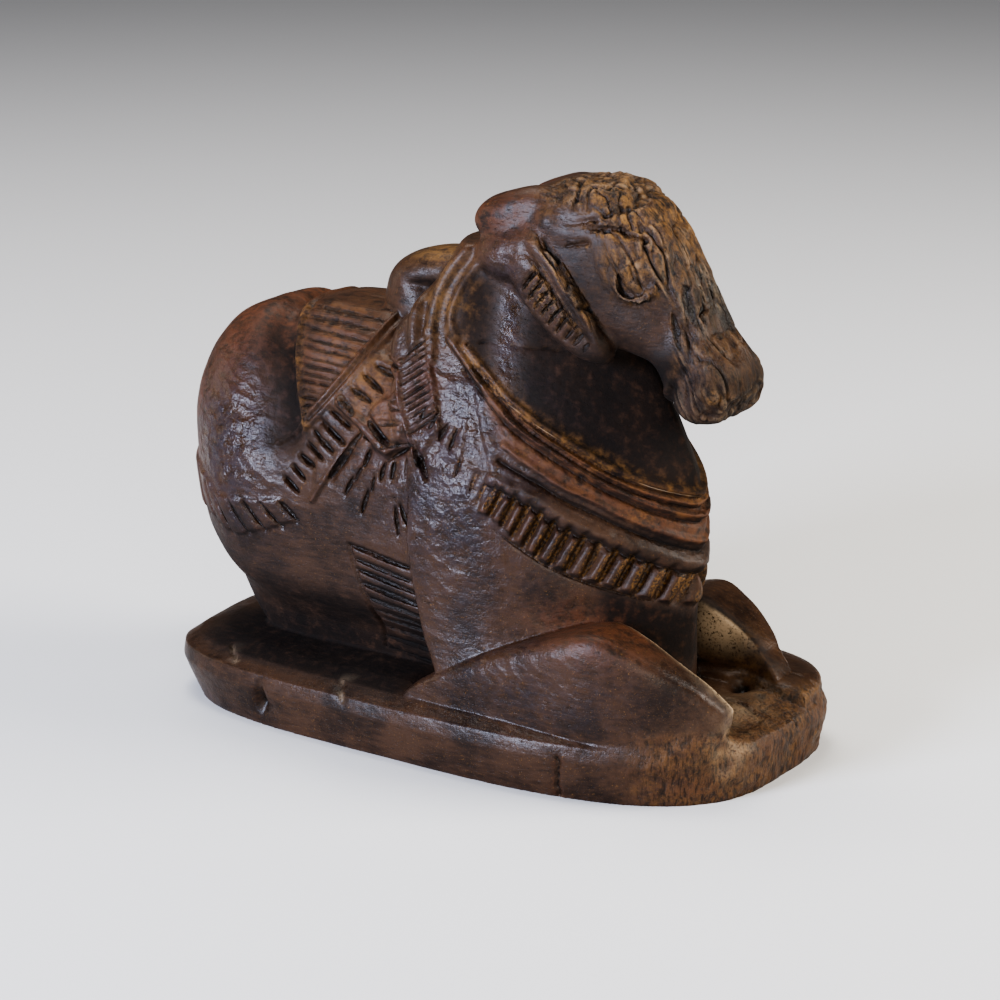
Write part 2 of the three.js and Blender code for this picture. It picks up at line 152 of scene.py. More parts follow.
def within(points, outline):
    # even-odd test of which points lie in a closed outline, and their distance to its edge
    inside = np.zeros(len(points), bool)
    edge = np.full(len(points), 1e9)
    x, z = points[:, 0], points[:, 1]
    for a, b in zip(outline, np.roll(outline, -1, axis=0)):
        crosses = (a[1] > z) != (b[1] > z)
        rise = b[1] - a[1] if abs(b[1] - a[1]) > 1e-9 else 1e-9
        inside ^= crosses & (x < (b[0] - a[0]) * (z - a[1]) / rise + a[0])
        edge = np.minimum(edge, nearest(points, np.array([a, b]))[0])
    return np.where(inside, edge, -edge)


def valueNoise(points, size, seed, smooth=1):
    # random heights on a lattice, blended between its corners, from -1 to 1; smooth 0 leaves flat facets
    lattice = np.random.default_rng(seed).uniform(-1, 1, (32, 32, 32)).astype(np.float32)
    p = np.asarray(points, np.float32) / np.float32(size) + 500
    base = np.floor(p).astype(np.int32)
    t = p - base
    if smooth:
        t = t * t * (3 - 2 * t)
    total = np.zeros(len(p), np.float32)
    for i in (0, 1):
        for j in (0, 1):
            for k in (0, 1):
                w = np.abs(1 - i - t[:, 0]) * np.abs(1 - j - t[:, 1]) * np.abs(1 - k - t[:, 2])
                total += w * lattice[(base[:, 0] + i) % 32, (base[:, 1] + j) % 32, (base[:, 2] + k) % 32]
    return total


# Relief drawn on the side: every mark is kept as a small rule on (x, z).
def near(points, places, margin):
    # which points lie in the box round some places, widened by a margin
    low, high = np.min(places, axis=0) - margin, np.max(places, axis=0) + margin
    return np.flatnonzero(np.all((points > low) & (points < high), axis=1))


def addCord(up, points, places, width, height):
    # a bead along a line: height times the root of one less the squared share of its half width
    path = smoothPath(places)
    pick = near(points, path, width)
    far = nearest(points[pick], path)[0]
    shape = np.sqrt(np.clip(1 - (far / (width / 2)) ** 2, 0, 1))
    up[pick] = np.maximum(up[pick], height * shape)


def addBand(up, points, outline, height, soft=0.5):
    # a raised field with a soft edge
    outline = np.asarray(outline, float)
    pick = near(points, outline, 1)
    inside = within(points[pick], outline)
    up[pick] = np.maximum(up[pick], height * smoothStep(-soft * 0.3, soft, inside))


harnessSeed = 3  # sets how the strokes of the harness are shaken
strokesMade, strokesOf = [], {}


def handOver(form):
    # the strokes made so far belong to this form
    strokesOf[form] = list(strokesMade)
    strokesMade.clear()


def addStroke(down, points, a, b, width, depth, lean=0.35):
    # a gouge stroke: deepest part way along, one wall steeper than the other
    a, b = np.asarray(a, float), np.asarray(b, float)
    strokesMade.append((a, b, width))
    pick = near(points, np.array([a, b]), width)
    if not len(pick):
        return
    far, at, side = nearest(points[pick], np.array([a, b]))
    half = width / 2 * np.where(side > 0, 1 + lean, 1 - lean)
    along = 0.35 + 0.65 * np.sin(np.pi * np.clip(at * 0.9 + 0.05, 0, 1)) ** 0.6
    down[pick] = np.maximum(down[pick], depth * along * np.clip(1 - far / half, 0, 1) ** 0.8)


def addStrokes(down, points, first, last, count, width, depth, seed, shake=0.25):
    # a row of strokes from one line to another, each a little shaken in place, width and depth
    chance = np.random.default_rng(seed)
    starts, ends = smoothPath(first, count), smoothPath(last, count)
    for a, b in zip(starts, ends):
        a = a + chance.normal(0, shake, 2)
        b = b + chance.normal(0, shake * 1.3, 2)
        addStroke(down, points, a, b, width * chance.uniform(0.8, 1.2), depth * chance.uniform(0.75, 1.2))


necklace = {
    "collar": [[-6, 121], [-10, 115], [-12.5, 108], [-12.5, 101], [-10.5, 92]],
    "innerCollar": [[-2, 118], [-6, 110], [-7, 103], [-4, 97.5]],
    "outerCollar": [[-19, 113], [-18.5, 105], [-17.5, 98], [-15, 92]],
    "ledge": [
        [-1, 96.5], [4, 92], [12.3, 84.6], [18.4, 80.9], [24.1, 77.3], [34.8, 71.3], [44.2, 65.6],
        [52.6, 61.5], [62, 56.5],
    ],
    "thinCord": [
        [10, 85.2], [14.8, 82.2], [18.7, 79], [23.7, 75.3], [29.1, 72.2], [39.2, 66], [48.2, 61],
        [58, 56],
    ],
    "lowCord": [
        [-6, 98], [0.7, 92], [4.4, 88.3], [8.9, 83.6], [12.7, 80.4], [19.4, 76], [30.3, 69.6],
        [40.3, 63.4], [49.4, 58], [62, 50.5],
    ],
    "middle": [
        [15.4, 72.1], [23.8, 67.1], [31.6, 62.3], [38.6, 58.8], [45.6, 54.2], [51.8, 50.2], [62, 43],
    ],
    "border": [
        [14, 63], [21.8, 60.2], [27.2, 57.9], [32, 54.3], [36.8, 51.6], [41.4, 49], [49.6, 44.2],
        [53.3, 41.9], [62, 35.5],
    ],
    "hem": [
        [10.2, 54.5], [14, 52.8], [17.6, 50.5], [21.3, 46.5], [28.3, 41.3], [35.8, 37.8], [41.7, 35.2],
        [47.3, 32.2], [54.8, 28.1], [62, 24],
    ],
    "cords": [  # line, width, height
        ["collar", 3.6, 1.5], ["innerCollar", 2.6, 1.2], ["outerCollar", 4.0, 1.5], ["ledge", 2.1, 1.7],
        ["thinCord", 1.3, 1.6], ["lowCord", 2.0, 2.1], ["middle", 1.9, 1.9], ["border", 4.2, 2.0],
    ],
    "grooves": [  # from line, to line, share of the way, width, depth
        ["ledge", "thinCord", 0.5, 1.3, 1.1], ["thinCord", "lowCord", 0.45, 1.3, 1.3],
        ["lowCord", "middle", 0.3, 1.5, 0.9], ["middle", "border", 0.45, 1.5, 1.2],
        ["border", "hem", 0.22, 1.5, 1.3],
    ],
    "teeth": 14,  # tabs of the fringe
    "toothSteps": 10,  # steps along the fringe from one tab to the next
    "toothWidth": 7,  # of those steps
    "lean": 9,  # steps by which the slots lean
    "height": 1.5,
}
saddle = {
    "rear": [[-67.5, 99.5], [-62.5, 92.2], [-60, 87.5], [-55.7, 80.3], [-52, 74], [-49.5, 69]],
    "front": [[-35.5, 99], [-36, 94], [-37.3, 88.5], [-40.5, 83.5], [-45, 76.5], [-50, 71]],
    "ribs": 15,
}
hollowPath = [[-71, 97], [-67.5, 91.5], [-64, 85.5], [-60, 78.5], [-57, 72.5], [-55.5, 67]]
girth = {
    "outerCord": [
        [-27.5, 107], [-33, 99], [-34.5, 93.5], [-37, 88.3], [-40, 83], [-44.5, 76.5], [-51.5, 69.5],
        [-58.5, 63],
    ],
    "innerCord": [
        [-24, 106], [-29, 98], [-31.8, 92], [-35.2, 85.5], [-39, 79.6], [-44, 73.3], [-51, 66.5],
    ],
    "fringeTop": [[-27, 90], [-33.5, 83], [-38.1, 76.7], [-44.4, 69.5], [-49, 62.6], [-54.5, 53]],
    "fringeLow": [[-19, 88], [-26.6, 79.7], [-32.7, 72.1], [-36.5, 64.1], [-44, 59.5], [-50.5, 49.6]],
    "tail": [[-38.1, 76.7], [-31.9, 73.4], [-25.5, 69.6], [-19.5, 66]],
    "lowerLine": [[-19.1, 81.7], [-27.3, 70.5], [-36.1, 61.1], [-41, 54.6], [-45.1, 48.3]],
    "strapRear": [[-19.5, 90], [-17.7, 81.7], [-15.9, 78], [-13.7, 74.3], [-10.9, 69.3], [-8.5, 64.5]],
    "strapFront": [[-13.5, 99.4], [-9.8, 89.3], [-6.5, 81.8], [-3.5, 74.3]],
    "hatchRear": [[-18.3, 92], [-17.8, 86], [-15.5, 79.5], [-12, 72.5]],
    "hatchFront": [[-12, 97.5], [-10, 91], [-7, 84.5], [-4, 78]],
    "knot": [-20.9, 72.6],
    "strands": 12,  # cuts of the fringe, and of the hatching
}
# single strokes of the girth's second fringe, the bow and the shoulder: from, to, width, depth
looseStrokes = [
    [[-27, 73.5], [-18.9, 67.6], 2.1, 2.6], [[-23.6, 72.9], [-15, 74.6], 1.4, 1.6],
    [[-21.6, 66.9], [-10.6, 69.8], 1.3, 1.2], [[-20.7, 62.9], [-10.4, 69.5], 1.5, 1.8],
    [[-9.7, 68.2], [-6.2, 61], 2.1, 2.8], [[-29.8, 69.4], [-39.3, 55.5], 2.4, 2.1],
    [[-32.6, 65.8], [-35.4, 60.6], 1.3, 1.2], [[-26.3, 65.3], [-28.1, 60.1], 1.7, 1.8],
    [[-31.4, 57], [-33.9, 51.6], 1.5, 1.6], [[-28.5, 60.5], [-31.5, 54.5], 1.3, 1.3],
    [[-26.1, 54.1], [-28.3, 47.2], 1.5, 1.6], [[-20.7, 62.9], [-22.1, 57.6], 1.5, 1.6],
    [[-17.5, 64], [-18.3, 58.5], 1.5, 1.4], [[-13.6, 65], [-13.4, 59.5], 1.3, 1.2],
    [[-24, 58.5], [-25, 53.5], 1.2, 1.1], [[-16.6, 50.6], [-15.5, 43], 1.6, 1.9],
    [[-15, 51.7], [-12.4, 46.4], 1.5, 1.7], [[-30.5, 70.8], [-25.8, 67], 1.3, 1.3],
    [[-21, 77.5], [-15.5, 78.4], 1.3, 1.3], [[-1.7, 75.8], [-3.4, 71.6], 1.7, 1.8],
    [[-4.5, 78.6], [-6.4, 74.1], 1.5, 1.4], [[-8.6, 79.2], [-10, 75], 1.3, 1.2],
    [[1.4, 75.2], [0.2, 69], 1.4, 1.3], [[4.4, 68.5], [3.2, 62.5], 1.1, 0.8],
    [[9.5, 65], [7.8, 59], 1.2, 0.9], [[12.5, 63.5], [10.6, 57], 1.3, 1.1],
    [[15.6, 62], [13.4, 55.5], 1.5, 1.3],
]
tassel = {
    "left": [[-32.5, 37], [-31.1, 30], [-29.2, 24], [-27.8, 18.5], [-29.5, 11], [-31.5, 3]],
    "right": [[-11, 33.2], [-9.5, 27.4], [-9, 20], [-9, 13.5], [-9, 7], [-9, 0]],
    "ribs": 10,
}
crupper = {
    "top": [[-112, 55], [-98, 52.5], [-91, 50.5], [-84, 47.5], [-79, 44.2], [-68, 44.5], [-56, 46]],
    "low": [
        [-110, 42], [-98, 40], [-88, 38.5], [-81, 37], [-76, 34.6], [-71.5, 33.9], [-60, 37.5],
        [-50, 41.5],
    ],
    "teeth": 11,
}


def beginRelief(p):
    # the grid's points seen from the side, and empty heights and depths
    points = np.column_stack([p[..., 0].ravel(), p[..., 2].ravel()])
    return points, np.zeros(len(points)), np.zeros(len(points))


def addDip(up, points, places, width, depth):
    # a wide round trough along a line: depth times a bell of the distance over its width
    far = farFrom(points, places)
    up -= depth * np.exp(-((far / width) ** 2))


def sharedRelief(up, down, points):
    # girth and bow, which run from the trunk on to the shoulder
    g = girth
    addCord(up, points, g["outerCord"], 2.0, 1.7)
    addCord(up, points, g["innerCord"], 1.7, 1.4)
    addBand(up, points, g["innerCord"][2:6] + g["lowerLine"][::-1], 0.6, 1.2)
    addCord(up, points, g["lowerLine"], 1.8, 1.1)
    turn = np.linspace(0, 2 * np.pi, 24, endpoint=False)
    knot = np.column_stack([g["knot"][0] + 7.4 * np.cos(turn), g["knot"][1] + 8 * np.sin(turn)])
    addBand(up, points, knot, 2.0, 1.6)
    addBand(up, points, g["strapRear"] + g["strapFront"][::-1], 1.0, 0.8)
    addCord(up, points, g["strapRear"], 1.6, 1.8)
    addCord(up, points, g["strapFront"], 1.8, 1.7)
    addCord(up, points, g["tail"], 3.4, 2.6)
    addStrokes(down, points, g["fringeTop"], g["fringeLow"], g["strands"], 1.75, 2.5, harnessSeed + 2)
    addStrokes(down, points, g["hatchRear"], g["hatchFront"], g["strands"], 1.2, 1.6, harnessSeed + 5, 0.12)
    for a, b, width, depth in looseStrokes:
        addStroke(down, points, a, b, width, depth)


def trunkRelief(p):
    # saddle cloth, crupper, tassel, girth and the hollow before the haunch
    points, up, down = beginRelief(p)
    rear, front = saddle["rear"], saddle["front"]
    addBand(up, points, rear + front[::-1], 0.7, 1.0)
    addCord(up, points, rear, 3.2, 2.2)
    addCord(up, points, crupper["top"], 2.4, 0.9)
    addBand(up, points, crupper["top"] + crupper["low"][::-1], 0.8)
    addStrokes(down, points, rear, front, saddle["ribs"], 1.15, 1.3, harnessSeed + 1, 0.12)
    addStrokes(down, points, tassel["left"], tassel["right"], tassel["ribs"], 1.7, 1.5, harnessSeed + 6)
    addCord(down, points, tassel["left"], 1.3, 1.0)
    addStrokes(down, points, crupper["low"], crupper["top"], crupper["teeth"], 1.7, 1.6, harnessSeed + 7)
    sharedRelief(up, down, points)
    addDip(up, points, hollowPath, 5.5, 4.6)
    handOver("trunk")
    return (up - down).reshape(p.shape[:2])


def necklaceGrooves():
    # the cuts between the necklace's cords: each line lies a share of the way from one cord to the next
    k = necklace
    for first, second, share, width, depth in k["grooves"]:
        yield smoothPath(k[first]) * (1 - share) + smoothPath(k[second]) * share, width, depth


def chestRelief(p):
    # collar, necklace with its fringe, girth and bow
    points, up, down = beginRelief(p)
    k = necklace
    addBand(up, points, k["ledge"] + k["border"][::-1], 0.7, 0.8)
    for name, width, height in k["cords"]:
        addCord(up, points, k[name], width, height)
    for path, width, depth in necklaceGrooves():
        addCord(down, points, path, width, depth)
    count = k["teeth"] * k["toothSteps"] + 1
    top, low = smoothPath(k["border"], count), smoothPath(k["hem"], count + k["lean"])
    chance = np.random.default_rng(harnessSeed)
    for i in range(k["teeth"]):
        a = i * k["toothSteps"] + 2
        b = a + k["toothWidth"]
        shake = chance.normal(0, 0.2, (4, 2))
        corners = np.array([top[a], top[b], low[b], low[a]]) + shake
        addBand(up, points, corners, k["height"] * chance.uniform(0.8, 1.15), 1.0)
        addStroke(down, points, top[b] * 0.9 + low[b] * 0.1, low[min(b + 1, len(low) - 1)], 2.0, 1.5)
    addStroke(down, points, [15, 49.5], [30, 39.5], 1.2, 0.8)
    addStroke(down, points, [30, 39.5], [52, 28.8], 1.2, 0.8)
    sharedRelief(up, down, points)
    handOver("chest")
    return (up - down).reshape(p.shape[:2])


def closedForm(rings, relief=None):
    # a skin through rings, moved out along its normals by a relief of (x, z), its ends closed to a point
    rings = np.asarray(rings, float)
    count, around = rings.shape[:2]
    ahead = np.roll(rings, -1, axis=1) - np.roll(rings, 1, axis=1)
    up = np.gradient(rings, axis=0)
    normal = np.cross(ahead, up)
    normal /= np.linalg.norm(normal, axis=2, keepdims=True) + 1e-9
    middle = rings.mean(axis=(0, 1))
    flip = np.sum((rings - middle) * normal) < 0
    if flip:
        normal = -normal
    if relief is not None:
        rings = rings + normal * relief(rings)[..., None]
    points = np.concatenate([rings.reshape(-1, 3), rings[:1].mean(axis=1), rings[-1:].mean(axis=1)])
    i, j = np.meshgrid(np.arange(count - 1), np.arange(around), indexing="ij")
    at = lambda a, b: (a * around + b % around).ravel()
    quads = np.column_stack([at(i, j), at(i, j + 1), at(i + 1, j + 1), at(i + 1, j)])
    j = np.arange(around)
    first, last = count * around, count * around + 1
    base = (count - 1) * around
    after = base + (j + 1) % around
    fans = np.concatenate([
        np.column_stack([np.full(around, first), (j + 1) % around, j, j]),
        np.column_stack([np.full(around, last), base + j, after, after]),
    ])
    return points, quads, fans, flip


formsMade = []


def keep(name, form):
    # put a closed form aside, its faces turned outward
    points, quads, fans, flip = form
    if flip:
        quads, fans = quads[:, ::-1], fans[:, [0, 2, 1, 1]]
    formsMade.append((points, quads, fans))
    print(f"form {name}: {len(points)} points")


def ringCount(length):
    # how many points a length takes at the block's grid step
    return max(int(length / block["gridStep"]), 12)


# The trunk: upright sections from rump to shoulder.
trunk = {
    "rear": -102.5, "round": 44, "front": 4, "pole": 62, "top": 99, "half": 38, "power": 2.8, "seat": -7,
}
trunkSection = [
    [0, 0, 1], [1, 0.36, 0.985], [2, 0.66, 0.91], [3, 0.87, 0.79], [4, 0.97, 0.65], [5, 1, 0.5],
    [6, 0.985, 0.36], [7, 0.92, 0.25], [8, 0.66, 0.15], [9, 0.46, 0], [10, 0, 0],
]
haunch = {"x": -75, "z": 50, "long": 19, "high": 21, "out": 3.6}
hollow = {"x": -66, "z": 78, "long": 8, "high": 15, "out": -3.4}


def swelling(form, x, z):
    # outward rise: a bell over its length and height
    along, up = (x - form["x"]) / form["long"], (z - form["z"]) / form["high"]
    return form["out"] * np.exp(-(along ** 2) - up ** 2)


def trunkForm():
    # the rump a superellipse in plan and profile, level before it; the section's shares times half
    # width and height
    t = trunk
    dense = np.linspace(0, np.pi / 2, 20001)
    x = t["rear"] + t["round"] * (1 - np.clip(np.cos(dense), 0, 1) ** (2 / t["power"]))
    size = np.maximum(np.sin(dense), 0.02) ** (2 / t["power"])
    run = np.concatenate([[0], np.cumsum(np.hypot(np.diff(x), np.diff(size) * 40))])
    even = np.linspace(0, run[-1], ringCount(run[-1]))
    barrel = np.linspace(x[-1], t["front"], ringCount(t["front"] - x[-1]))[1:]
    x = np.concatenate([np.interp(even, run, x), barrel])[:, None]
    size = np.concatenate([np.interp(even, run, size), np.ones(len(barrel))])[:, None]
    k = np.linspace(0, 10, ringCount(130))
    share, level = read(trunkSection, k).T
    share = np.concatenate([share, -share[-2:0:-1]])[None]
    level = np.concatenate([level, level[-2:0:-1]])[None]
    low = t["seat"] + (t["pole"] - t["seat"]) * (1 - size ** 2.3)
    high = t["pole"] + (t["top"] - t["pole"]) * size
    z = low + (high - low) * level
    out = (swelling(haunch, x, z) + swelling(hollow, x, z)) * share * size
    y = share * t["half"] * size + out
    return ringsOf(x, y, z)


keep("trunk", closedForm(trunkForm(), trunkRelief))

# The chest, shoulders and neck: level sections with a ridge in front like a bow.
chestStations = [
    [-7, 1, 56, 42, 7], [0, 0, 57, 42, 7], [21, -9, 57.5, 40.5, 7], [41, -13, 59, 40, 7],
    [62, -15, 58, 38, 5], [80, -23, 50, 33.8, 4], [97, -28, 41, 27.5, 3], [111, -19, 32, 21.5, 2.2],
    [123, -13, 25, 17, 2.2],
]


def chestRing(turn, rear, front, half, square):
    # front: cosine along, sine to the 1.5 across; rear: superellipse
    c, s = np.cos(turn), np.sin(turn)
    widest = rear + 7
    x = np.where(c > 0, c * (front - widest), powered(c, 2 / square) * (widest - rear))
    y = np.where(c > 0, powered(s, 1.5), powered(s, 2 / square)) * half
    return widest + x, y


def chestForm():
    # level rings, each from its row of rear, front, half width and squareness
    turns = evenTurns(lambda turn: chestRing(turn, -13, 58, 40, 6), ringCount(210))
    z = np.linspace(-7, 123, ringCount(130))
    rear, front, half, square = columnsOf(chestStations, z)
    x, y = chestRing(turns[None], rear, front, half, square)
    return ringsOf(x, y, z[:, None])


keep("chest", closedForm(chestForm(), chestRelief))

# The hump: a blunt hewn knob against the neck, its top curling over a recess.
humpStations = [  # height, centre, half length, half width
    [88, -26.5, 17, 14], [96, -27, 16.4, 13.5], [104, -27, 15.6, 12.8], [110, -25.5, 15, 12],
    [114, -23.2, 12.6, 10], [116.5, -20, 8.5, 7], [117.4, -17, 3.5, 3],
]


def humpForm():
    # level rings of a squarish oval, turned a little
    z = np.linspace(88, 117.4, ringCount(40))
    centre, long, half = columnsOf(humpStations, z)
    turn = np.linspace(0, 2 * np.pi, ringCount(80), endpoint=False)[None]
    x = centre + long * powered(np.cos(turn + 0.3), 0.75)
    return ringsOf(x, half * powered(np.sin(turn + 0.3), 0.75), z[:, None])


keep("hump", closedForm(humpForm()))

def squarish(power, long, wide, length):
    # turns spread evenly round a superellipse of a length, as its shares along and across
    outline = lambda t: (powered(np.cos(t), power) * long, powered(np.sin(t), power) * wide)
    turn = evenTurns(outline, ringCount(length))[None]
    return powered(np.cos(turn), power), powered(np.sin(turn), power)


# The head: sections from poll to muzzle, each slung between an upper and a lower edge.
headStations = [  # share of the way, upper x and z, lower x and z, half width, how far the roof closes in
    [0, -6, 126.5, -6, 119.5, 9, 0], [0.1, -2, 132.5, -2.5, 111.5, 14.5, 0],
    [0.25, 10, 139, 9, 104, 18.8, 0.06], [0.4, 25, 142.6, 22, 100, 20.6, 0.14],
    [0.5, 38, 141.2, 33, 97.5, 20.2, 0.24], [0.6, 49.8, 132, 43, 96, 18.2, 0.33],
    [0.7, 58.2, 118.5, 50, 93, 15.5, 0.34], [0.8, 65, 105.5, 54.5, 83.5, 13.8, 0.24],
    [0.9, 71.5, 96.5, 61, 79.5, 14.8, 0.06], [1, 74, 90, 70, 81.5, 11, 0],
]


def headForm():
    # squarish sections between the upper and lower edge, narrower towards the roof
    s = np.linspace(0, 1, ringCount(110))
    upX, upZ, lowX, lowZ, half, roof = columnsOf(headStations, s)
    c, t = squarish(0.62, 17, 20, 140)
    x = (upX + lowX) / 2 + (upX - lowX) / 2 * t
    y = c * half * (1 - roof * (t + 1) * 0.5)
    return ringsOf(x, y, (upZ + lowZ) / 2 + (upZ - lowZ) / 2 * t)


headMarks = {
    "cheek": [
        [17.5, 127], [33, 129.5], [37, 121], [42, 114], [52, 113], [57, 108], [57, 98], [48, 97],
        [40, 98.5], [32, 109], [24, 119],
    ],
    "eye": [46, 118],
    "cracks": [
        [[20, 132.6], [27, 132.2], [34.5, 133.6]], [[36.5, 134.8], [39.5, 136.4], [43, 137.4]],
        [[43, 137.4], [40.5, 140]], [[33, 131.2], [40, 131.4], [48, 128.8]], [[26, 126], [33, 127.6]],
    ],
    "noseGrooves": [
        [[57.5, 117], [60.5, 108]], [[59, 118], [63, 108.5]], [[56, 110], [58.5, 101]],
        [[62, 112], [66, 103]],
    ],
}


def headRelief(p):
    # sunk cheek, a worn ring with a raised disc for the eye, cracks, nose grooves and the mouth strap
    points, up, down = beginRelief(p)
    m = headMarks
    cheek = np.asarray(m["cheek"], float)
    up -= 0.7 * smoothStep(-1.5, 3.0, within(points, cheek))
    x, z = points.T
    far = np.hypot(x - m["eye"][0], z - m["eye"][1])
    whole = 0.3 + 0.7 * smoothStep(2.5, -2.5, z - m["eye"][1] + 0.5 * (x - m["eye"][0]))
    up += 0.9 * whole * np.exp(-(((far - 4.8) / 0.9) ** 2)) - 0.6 * np.exp(-((far / 3.6) ** 4))
    up += 0.9 * np.exp(-((far / 2.4) ** 2))
    for crack in m["cracks"]:
        path = smoothPath(crack, 12)
        path = path + np.random.default_rng(5).normal(0, 0.15, path.shape)
        far = nearest(points, path)[0]
        down += 1.3 * np.clip(1 - far / 0.75, 0, 1)
    for a, b in m["noseGrooves"]:
        addStroke(down, points, a, b, 2.2, 1.0)
    addCord(up, points, necklace["collar"], 3.6, 1.4)
    handOver("head")
    # mouth strap: a thin ring round the muzzle's rear, below the nose
    way = np.linspace(0, 1, p.shape[0])[:, None] * np.ones(p.shape[1])
    low = smoothStep(0.2, -0.6, (p[..., 2] - p[..., 2].mean(axis=1, keepdims=True)) / 14)
    strap = 1.1 * np.exp(-(((way - 0.775) / 0.011) ** 2)) - 1.1 * np.exp(-(((way - 0.80) / 0.010) ** 2))
    return (up - down).reshape(p.shape[:2]) + strap * low


keep("head", closedForm(headForm(), headRelief))


def limb(stations, side, around, rings, power=1):
    # oval sections, half width across and half height square to the path, along [x, y, z, wide, high]
    row = np.column_stack([np.linspace(0, 1, len(stations)), stations])
    s = np.linspace(0, 1, rings)
    x, y, z, wide, high = columnsOf(row, s)
    ahead, behind = read(row, np.minimum(s + 0.02, 1)), read(row, np.maximum(s - 0.02, 0))
    lie = ahead[:, [0, 2]] - behind[:, [0, 2]]
    lie = lie / np.linalg.norm(lie, axis=1, keepdims=True)
    turn = np.linspace(0, 2 * np.pi, around, endpoint=False)[None]
    c, t = powered(np.cos(turn), power) * wide, powered(np.sin(turn), power) * high
    return ringsOf(x - lie[:, 1:] * t, side * (y + c), z + lie[:, :1] * t)


def ball(form, side, around, rings):
    # an ellipsoid in level rings, its poles left open for the closing fans
    centre, radii = form["centre"], form["radii"]
    level = np.linspace(-np.pi / 2, np.pi / 2, rings)[:, None] * 0.995
    turn = np.linspace(0, 2 * np.pi, around, endpoint=False)[None]
    x = centre[0] + radii[0] * np.cos(level) * np.cos(turn)
    y = side * (centre[1] + radii[1] * np.cos(level) * np.sin(turn))
    return ringsOf(x, y, centre[2] + radii[2] * np.sin(level))


horn = [  # x, y, z, half width, half height
    [20, 11, 137.2, 3, 2.5], [14, 11.6, 136, 5, 4.5], [7, 12.2, 133, 6.6, 5.8], [0, 12.2, 129.6, 6.4, 6],
    [-3.6, 12, 126, 4.4, 4.4],
]
earRoot = {"centre": [6, 13.6, 120.6], "radii": [10.5, 8, 8]}
ear = [
    [9, 17, 124.5, 3, 5], [14, 17.4, 121, 4.4, 7], [20, 17.6, 114, 4.7, 7.6], [26, 17.6, 107.5, 4.6, 7],
    [31.5, 17.2, 102.3, 4.1, 6], [36, 16.6, 98.8, 3.4, 4.6], [40, 15, 96, 2, 2],
]
earMarks = {
    "notchLow": [[14.5, 113], [21.5, 106.5], [28, 101.5], [33.5, 98.5]],
    "notchTop": [[20, 119], [26, 112], [31.5, 106], [35.5, 101]],
    "notches": 9, "seed": 21, "outerSide": 17.2,
    "line": [[7, 126], [20, 114], [31.5, 102.3], [39, 96.5]],
    "groove": [[15, 124.5], [21, 119], [25.8, 113], [30, 107.5], [34.5, 101.5]],
    "rim": [[16, 127.5], [22.6, 121.8], [27.8, 115.2], [32.2, 109.6], [36.3, 103.7], [38.6, 98.2]],
}


def earRelief(p):
    # notches across the ear's middle, a groove and a raised rim along its front
    points, up, down = beginRelief(p)
    m = earMarks
    addStrokes(down, points, m["notchLow"], m["notchTop"], m["notches"], 1.7, 1.6, m["seed"], 0.12)
    addCord(down, points, m["groove"], 1.6, 1.5)
    addCord(up, points, m["rim"], 2.2, 1.3)
    handOver("ear")
    return ((up - down) * (np.abs(p[..., 1]).ravel() > m["outerSide"])).reshape(p.shape[:2])


for side, name in ((-1, "right"), (1, "left")):
    keep(f"{name} horn", closedForm(limb(horn, side, ringCount(40), ringCount(45))))
    keep(f"{name} ear root", closedForm(ball(earRoot, side, ringCount(60), ringCount(26))))
    keep(f"{name} ear", closedForm(limb(ear, side, ringCount(44), ringCount(42), 0.7), earRelief))

# The forelegs, folded under: upright sections from shoulder to knee of [x, outer side, inner side, top].
nearLeg = [
    [-14, 43, 20, -4], [-7, 43.5, 20, 3], [15, 43.5, 20, 15], [41, 43, 21, 25], [50, 42, 21.5, 26.8],
    [58, 39.5, 22, 24], [67, 35.5, 22, 19], [76, 29.5, 20, 13], [82, 25, 18, 7],
]
kneeRidge = [[50, -23.5, 24.9], [58, -23.8, 22.4], [67, -23.4, 17.7], [76, -21, 12], [82, -18.8, 6.4]]
farLeg = [[x * 0.94 - 2, outer, inner - 2, top * 0.88 - 3.2] for x, outer, inner, top in nearLeg]


def legForm(stations, side, power=0.42):
    # upright squarish sections from the plinth to the leg's top
    x = np.linspace(stations[0][0], stations[-1][0], ringCount(100))
    outer, inner, top = columnsOf(stations, x)
    c, t = squarish(power, 12, 15, 100)
    y = (outer + inner) / 2 + (outer - inner) / 2 * c
    return ringsOf(x[:, None], side * y, -7 + (top + 7) * (t + 1) / 2)


keep("near leg", closedForm(legForm(nearLeg, -1)))
keep("far leg", closedForm(legForm(farLeg, 1, 0.28)))

plinth = {
    "length": 191, "width": 97, "height": plinthTop, "fall": 4.5, "rake": 5, "middle": -9.5,
    "corners": {"nearFront": 2.8, "nearRear": 4, "farFront": 4.8, "farRear": 4},
}

# The far front of the plinth stands a little higher than the rest, held inside the plinth's outline.
step = {"x": [40, 87], "y": [14, 47], "low": -9, "top": 2.6, "round": 3.2, "inset": 1.2}


